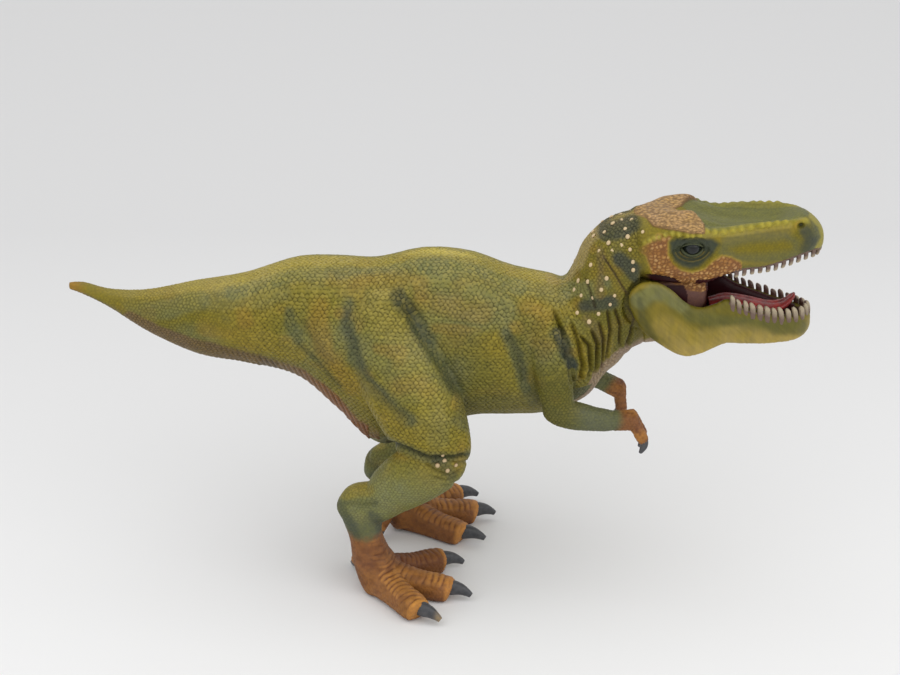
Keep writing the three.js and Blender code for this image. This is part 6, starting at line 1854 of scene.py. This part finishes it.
def add_claw(node, rows, material, worn=False):
    """One horn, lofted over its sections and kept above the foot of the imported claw."""
    points, faces = loft(rows, 8, 28)
    points = held_in_box(points)
    points[:, 2] = np.maximum(points[:, 2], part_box(node)[0][2] / MM - shift()[2])
    along = np.linalg.norm(points - np.array(rows[0][:3]), axis=1)
    share = ease(0.72, 0.95, along / along.max()) * worn
    piece(node + "_horn", points, faces, "figure", "claws", material, (node,), attributes={"worn": share})


def add_pin():
    """The hinge pin keeps its own shape, in brushed steel."""
    f = Finish("pin_steel")
    grain = f.noise(0.6, 3.0)
    coat = f.mixed(f.spread(grain, 0, 1), (0.5, 0.51, 0.52), (0.62, 0.63, 0.64))
    material = f.done(Base_Color=coat, Roughness=f.spread(grain, 0.25, 0.4), Metallic=1.0,
                      Normal=f.bumped(grain, 0.02))
    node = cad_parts["jaw_pin"]
    node.data.materials.clear()
    node.data.materials.append(material)


# --- stage
FLOOR_HALF, FLOOR_FAR, FLOOR_COLUMNS, FLOOR_ROWS = 5, 4, 40, 60
# The floor's colour near and far and where it changes: painted shade that darkens the floor towards the back
FLOOR_NEAR_SHADE, FLOOR_FAR_SHADE = (0.93, 0.93, 0.93), (0.7, 0.7, 0.703)
FLOOR_SHADE_FROM, FLOOR_SHADE_TO = -0.25, 0.34
# Lamps: name, place, size and power, in metres and watts, all turned to one point over the floor
LAMPS = (("key", (-0.1, -0.42, 1.4), 2.8, 10.3), ("fill", (0.9, -0.7, 0.8), 0.9, 2.0))
LAMP_AIM = Vector((0, 0, 0.08))
SKY_STRENGTH, SENSOR_WIDTH = 0.81, 36


def on_stage(name, data, at=(0, 0, 0), ahead=None):
    """Links an object to the scene, turned to look along a direction if one is given."""
    obj = bpy.data.objects.new(name, data)
    obj.location = at
    if ahead is not None:
        obj.rotation_euler = Vector(ahead).to_track_quat("-Z", "Y").to_euler()
    bpy.context.scene.collection.objects.link(obj)
    return obj


def add_stage():
    """A pale floor that rises with the square of the way behind, two soft lamps, an even sky and the
    camera."""
    side, depth = np.meshgrid(np.linspace(-FLOOR_HALF, FLOOR_HALF, FLOOR_COLUMNS + 1),
                              np.linspace(-FLOOR_HALF, FLOOR_FAR, FLOOR_ROWS + 1))
    rise = 0.35 * np.clip(depth - 2.2, 0, None) ** 2
    points = np.stack([side.ravel(), depth.ravel(), rise.ravel()], -1)
    i = np.arange(FLOOR_ROWS * FLOOR_COLUMNS)
    a = i // FLOOR_COLUMNS * (FLOOR_COLUMNS + 1) + i % FLOOR_COLUMNS
    quads = np.stack([a, a + 1, a + FLOOR_COLUMNS + 2, a + FLOOR_COLUMNS + 1], -1)
    floor = on_stage("floor", mesh_from("floor", points, quads))
    f = Finish("floor_paper")
    way = f.graded(f.node("ShaderNodeSeparateXYZ", {}, {"Vector": f.place()}, "Y"), FLOOR_SHADE_FROM,
                   FLOOR_SHADE_TO, 0, 1)
    # Painted shade: the floor darker towards the back
    coat = f.mixed(way, FLOOR_NEAR_SHADE, FLOOR_FAR_SHADE)
    floor.data.materials.append(f.done(Base_Color=coat, Roughness=0.9, Specular_IOR_Level=0.1))
    floor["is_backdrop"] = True
    for name, at, size, power in LAMPS:
        lamp = bpy.data.lights.new(name, "AREA")
        lamp.energy, lamp.size = power, size
        on_stage(name, lamp, at, LAMP_AIM - Vector(at))
    scene = bpy.context.scene
    scene.world = bpy.data.worlds.new("sky")
    scene.world.use_nodes = True
    sky = scene.world.node_tree.nodes["Background"].inputs
    sky["Color"].default_value = (1, 1, 1, 1)
    sky["Strength"].default_value = SKY_STRENGTH
    camera = bpy.data.cameras.new("camera")
    camera.sensor_fit = "HORIZONTAL"
    camera.sensor_width = SENSOR_WIDTH
    camera.lens = SENSOR_WIDTH * FOCAL_PIXELS / VIEW_WIDTH
    scene.camera = on_stage("camera", camera, (CAMERA_AT + shift()) * MM, CAMERA_AHEAD)
    scene.view_settings.view_transform = "Standard"


# --- the add-on
def colour_property(name, description, code):
    return bpy.props.FloatVectorProperty(name=name, description=description, subtype="COLOR", size=3, min=0,
                                         max=1, default=tuple(paint(code)))


def length_property(name, description, default, low, high):
    return bpy.props.FloatProperty(name=name, description=description, default=default, min=low, max=high,
                                   unit="LENGTH", precision=5)


class FigurePaints(bpy.types.PropertyGroup):
    """Colours of every paint."""
    __annotations__ = {key: colour_property(*value) for key, value in PAINTS.items()}


class FigureSizes(bpy.types.PropertyGroup):
    """Sizes of the skin's detail."""
    grid: length_property("Skin grid", "Spacing of the skin's points", 0.00037, 0.0003, 0.002)
    scale_height: length_property("Scale height", "How far the scales stand up", 0.00042, 0.0, 0.001)


class FigureOperator(bpy.types.Operator):
    """Base of the figure's operators"""
    bl_options = {"REGISTER"}
    work = None

    def execute(self, context):
        type(self).work()
        return {"FINISHED"}


class FIGURE_OT_stage(FigureOperator):
    """Adds the floor, the lamps and the camera"""
    bl_idname, bl_label = "figure.stage", "Stage"
    work = staticmethod(add_stage)


class FIGURE_OT_skin(FigureOperator):
    """Adds the painted skin of body, head, arms and legs, with its studs"""
    bl_idname, bl_label = "figure.skin", "Skin"
    work = staticmethod(add_skin)


class FIGURE_OT_jaw(FigureOperator):
    """Adds the skin of the lower jaw"""
    bl_idname, bl_label = "figure.jaw", "Lower jaw"
    work = staticmethod(add_jaw)


class FIGURE_OT_teeth(FigureOperator):
    """Adds both rows of teeth with their gums"""
    bl_idname, bl_label = "figure.teeth", "Teeth"
    work = staticmethod(add_teeth)


class FIGURE_OT_tongue(FigureOperator):
    """Adds the tongue"""
    bl_idname, bl_label = "figure.tongue", "Tongue"
    work = staticmethod(add_tongue)


class FIGURE_OT_eyes(FigureOperator):
    """Adds the eyes with their lids"""
    bl_idname, bl_label = "figure.eyes", "Eyes"
    work = staticmethod(add_eyes)


class FIGURE_OT_claws(FigureOperator):
    """Adds the claws of toes and fingers"""
    bl_idname, bl_label = "figure.claws", "Claws"
    work = staticmethod(add_claws)


class FIGURE_OT_pin(FigureOperator):
    """Gives the hinge pin its steel"""
    bl_idname, bl_label = "figure.pin", "Hinge pin"
    work = staticmethod(add_pin)


STEPS = (FIGURE_OT_stage, FIGURE_OT_skin, FIGURE_OT_jaw, FIGURE_OT_teeth, FIGURE_OT_tongue, FIGURE_OT_eyes,
         FIGURE_OT_claws, FIGURE_OT_pin)


class FIGURE_PT_panel(bpy.types.Panel):
    """The figure's panel in the sidebar"""
    bl_idname, bl_label = "FIGURE_PT_panel", "Toy dinosaur figure"
    bl_space_type, bl_region_type, bl_category = "VIEW_3D", "UI", "Figure"

    def draw(self, context):
        for step in STEPS:
            self.layout.operator(step.bl_idname)
        for name in GROUPS:
            group = getattr(context.scene, name)
            for key in group.bl_rna.properties.keys():
                if key not in ("rna_type", "name"):
                    self.layout.prop(group, key)


GROUPS = {"figure_sizes": FigureSizes, "figure_paints": FigurePaints}
CLASSES = (*GROUPS.values(), *STEPS, FIGURE_PT_panel)


def register():
    for cls in CLASSES:
        bpy.utils.register_class(cls)
    for name, cls in GROUPS.items():
        setattr(bpy.types.Scene, name, bpy.props.PointerProperty(type=cls))


def unregister():
    for name in GROUPS:
        delattr(bpy.types.Scene, name)
    for cls in reversed(CLASSES):
        bpy.utils.unregister_class(cls)


def main():
    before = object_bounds()
    CAD_BOX.append(before)
    register()
    for step in STEPS:
        group, name = step.bl_idname.split(".")
        getattr(getattr(bpy.ops, group), name)()


if __name__ == "__main__":
    main()
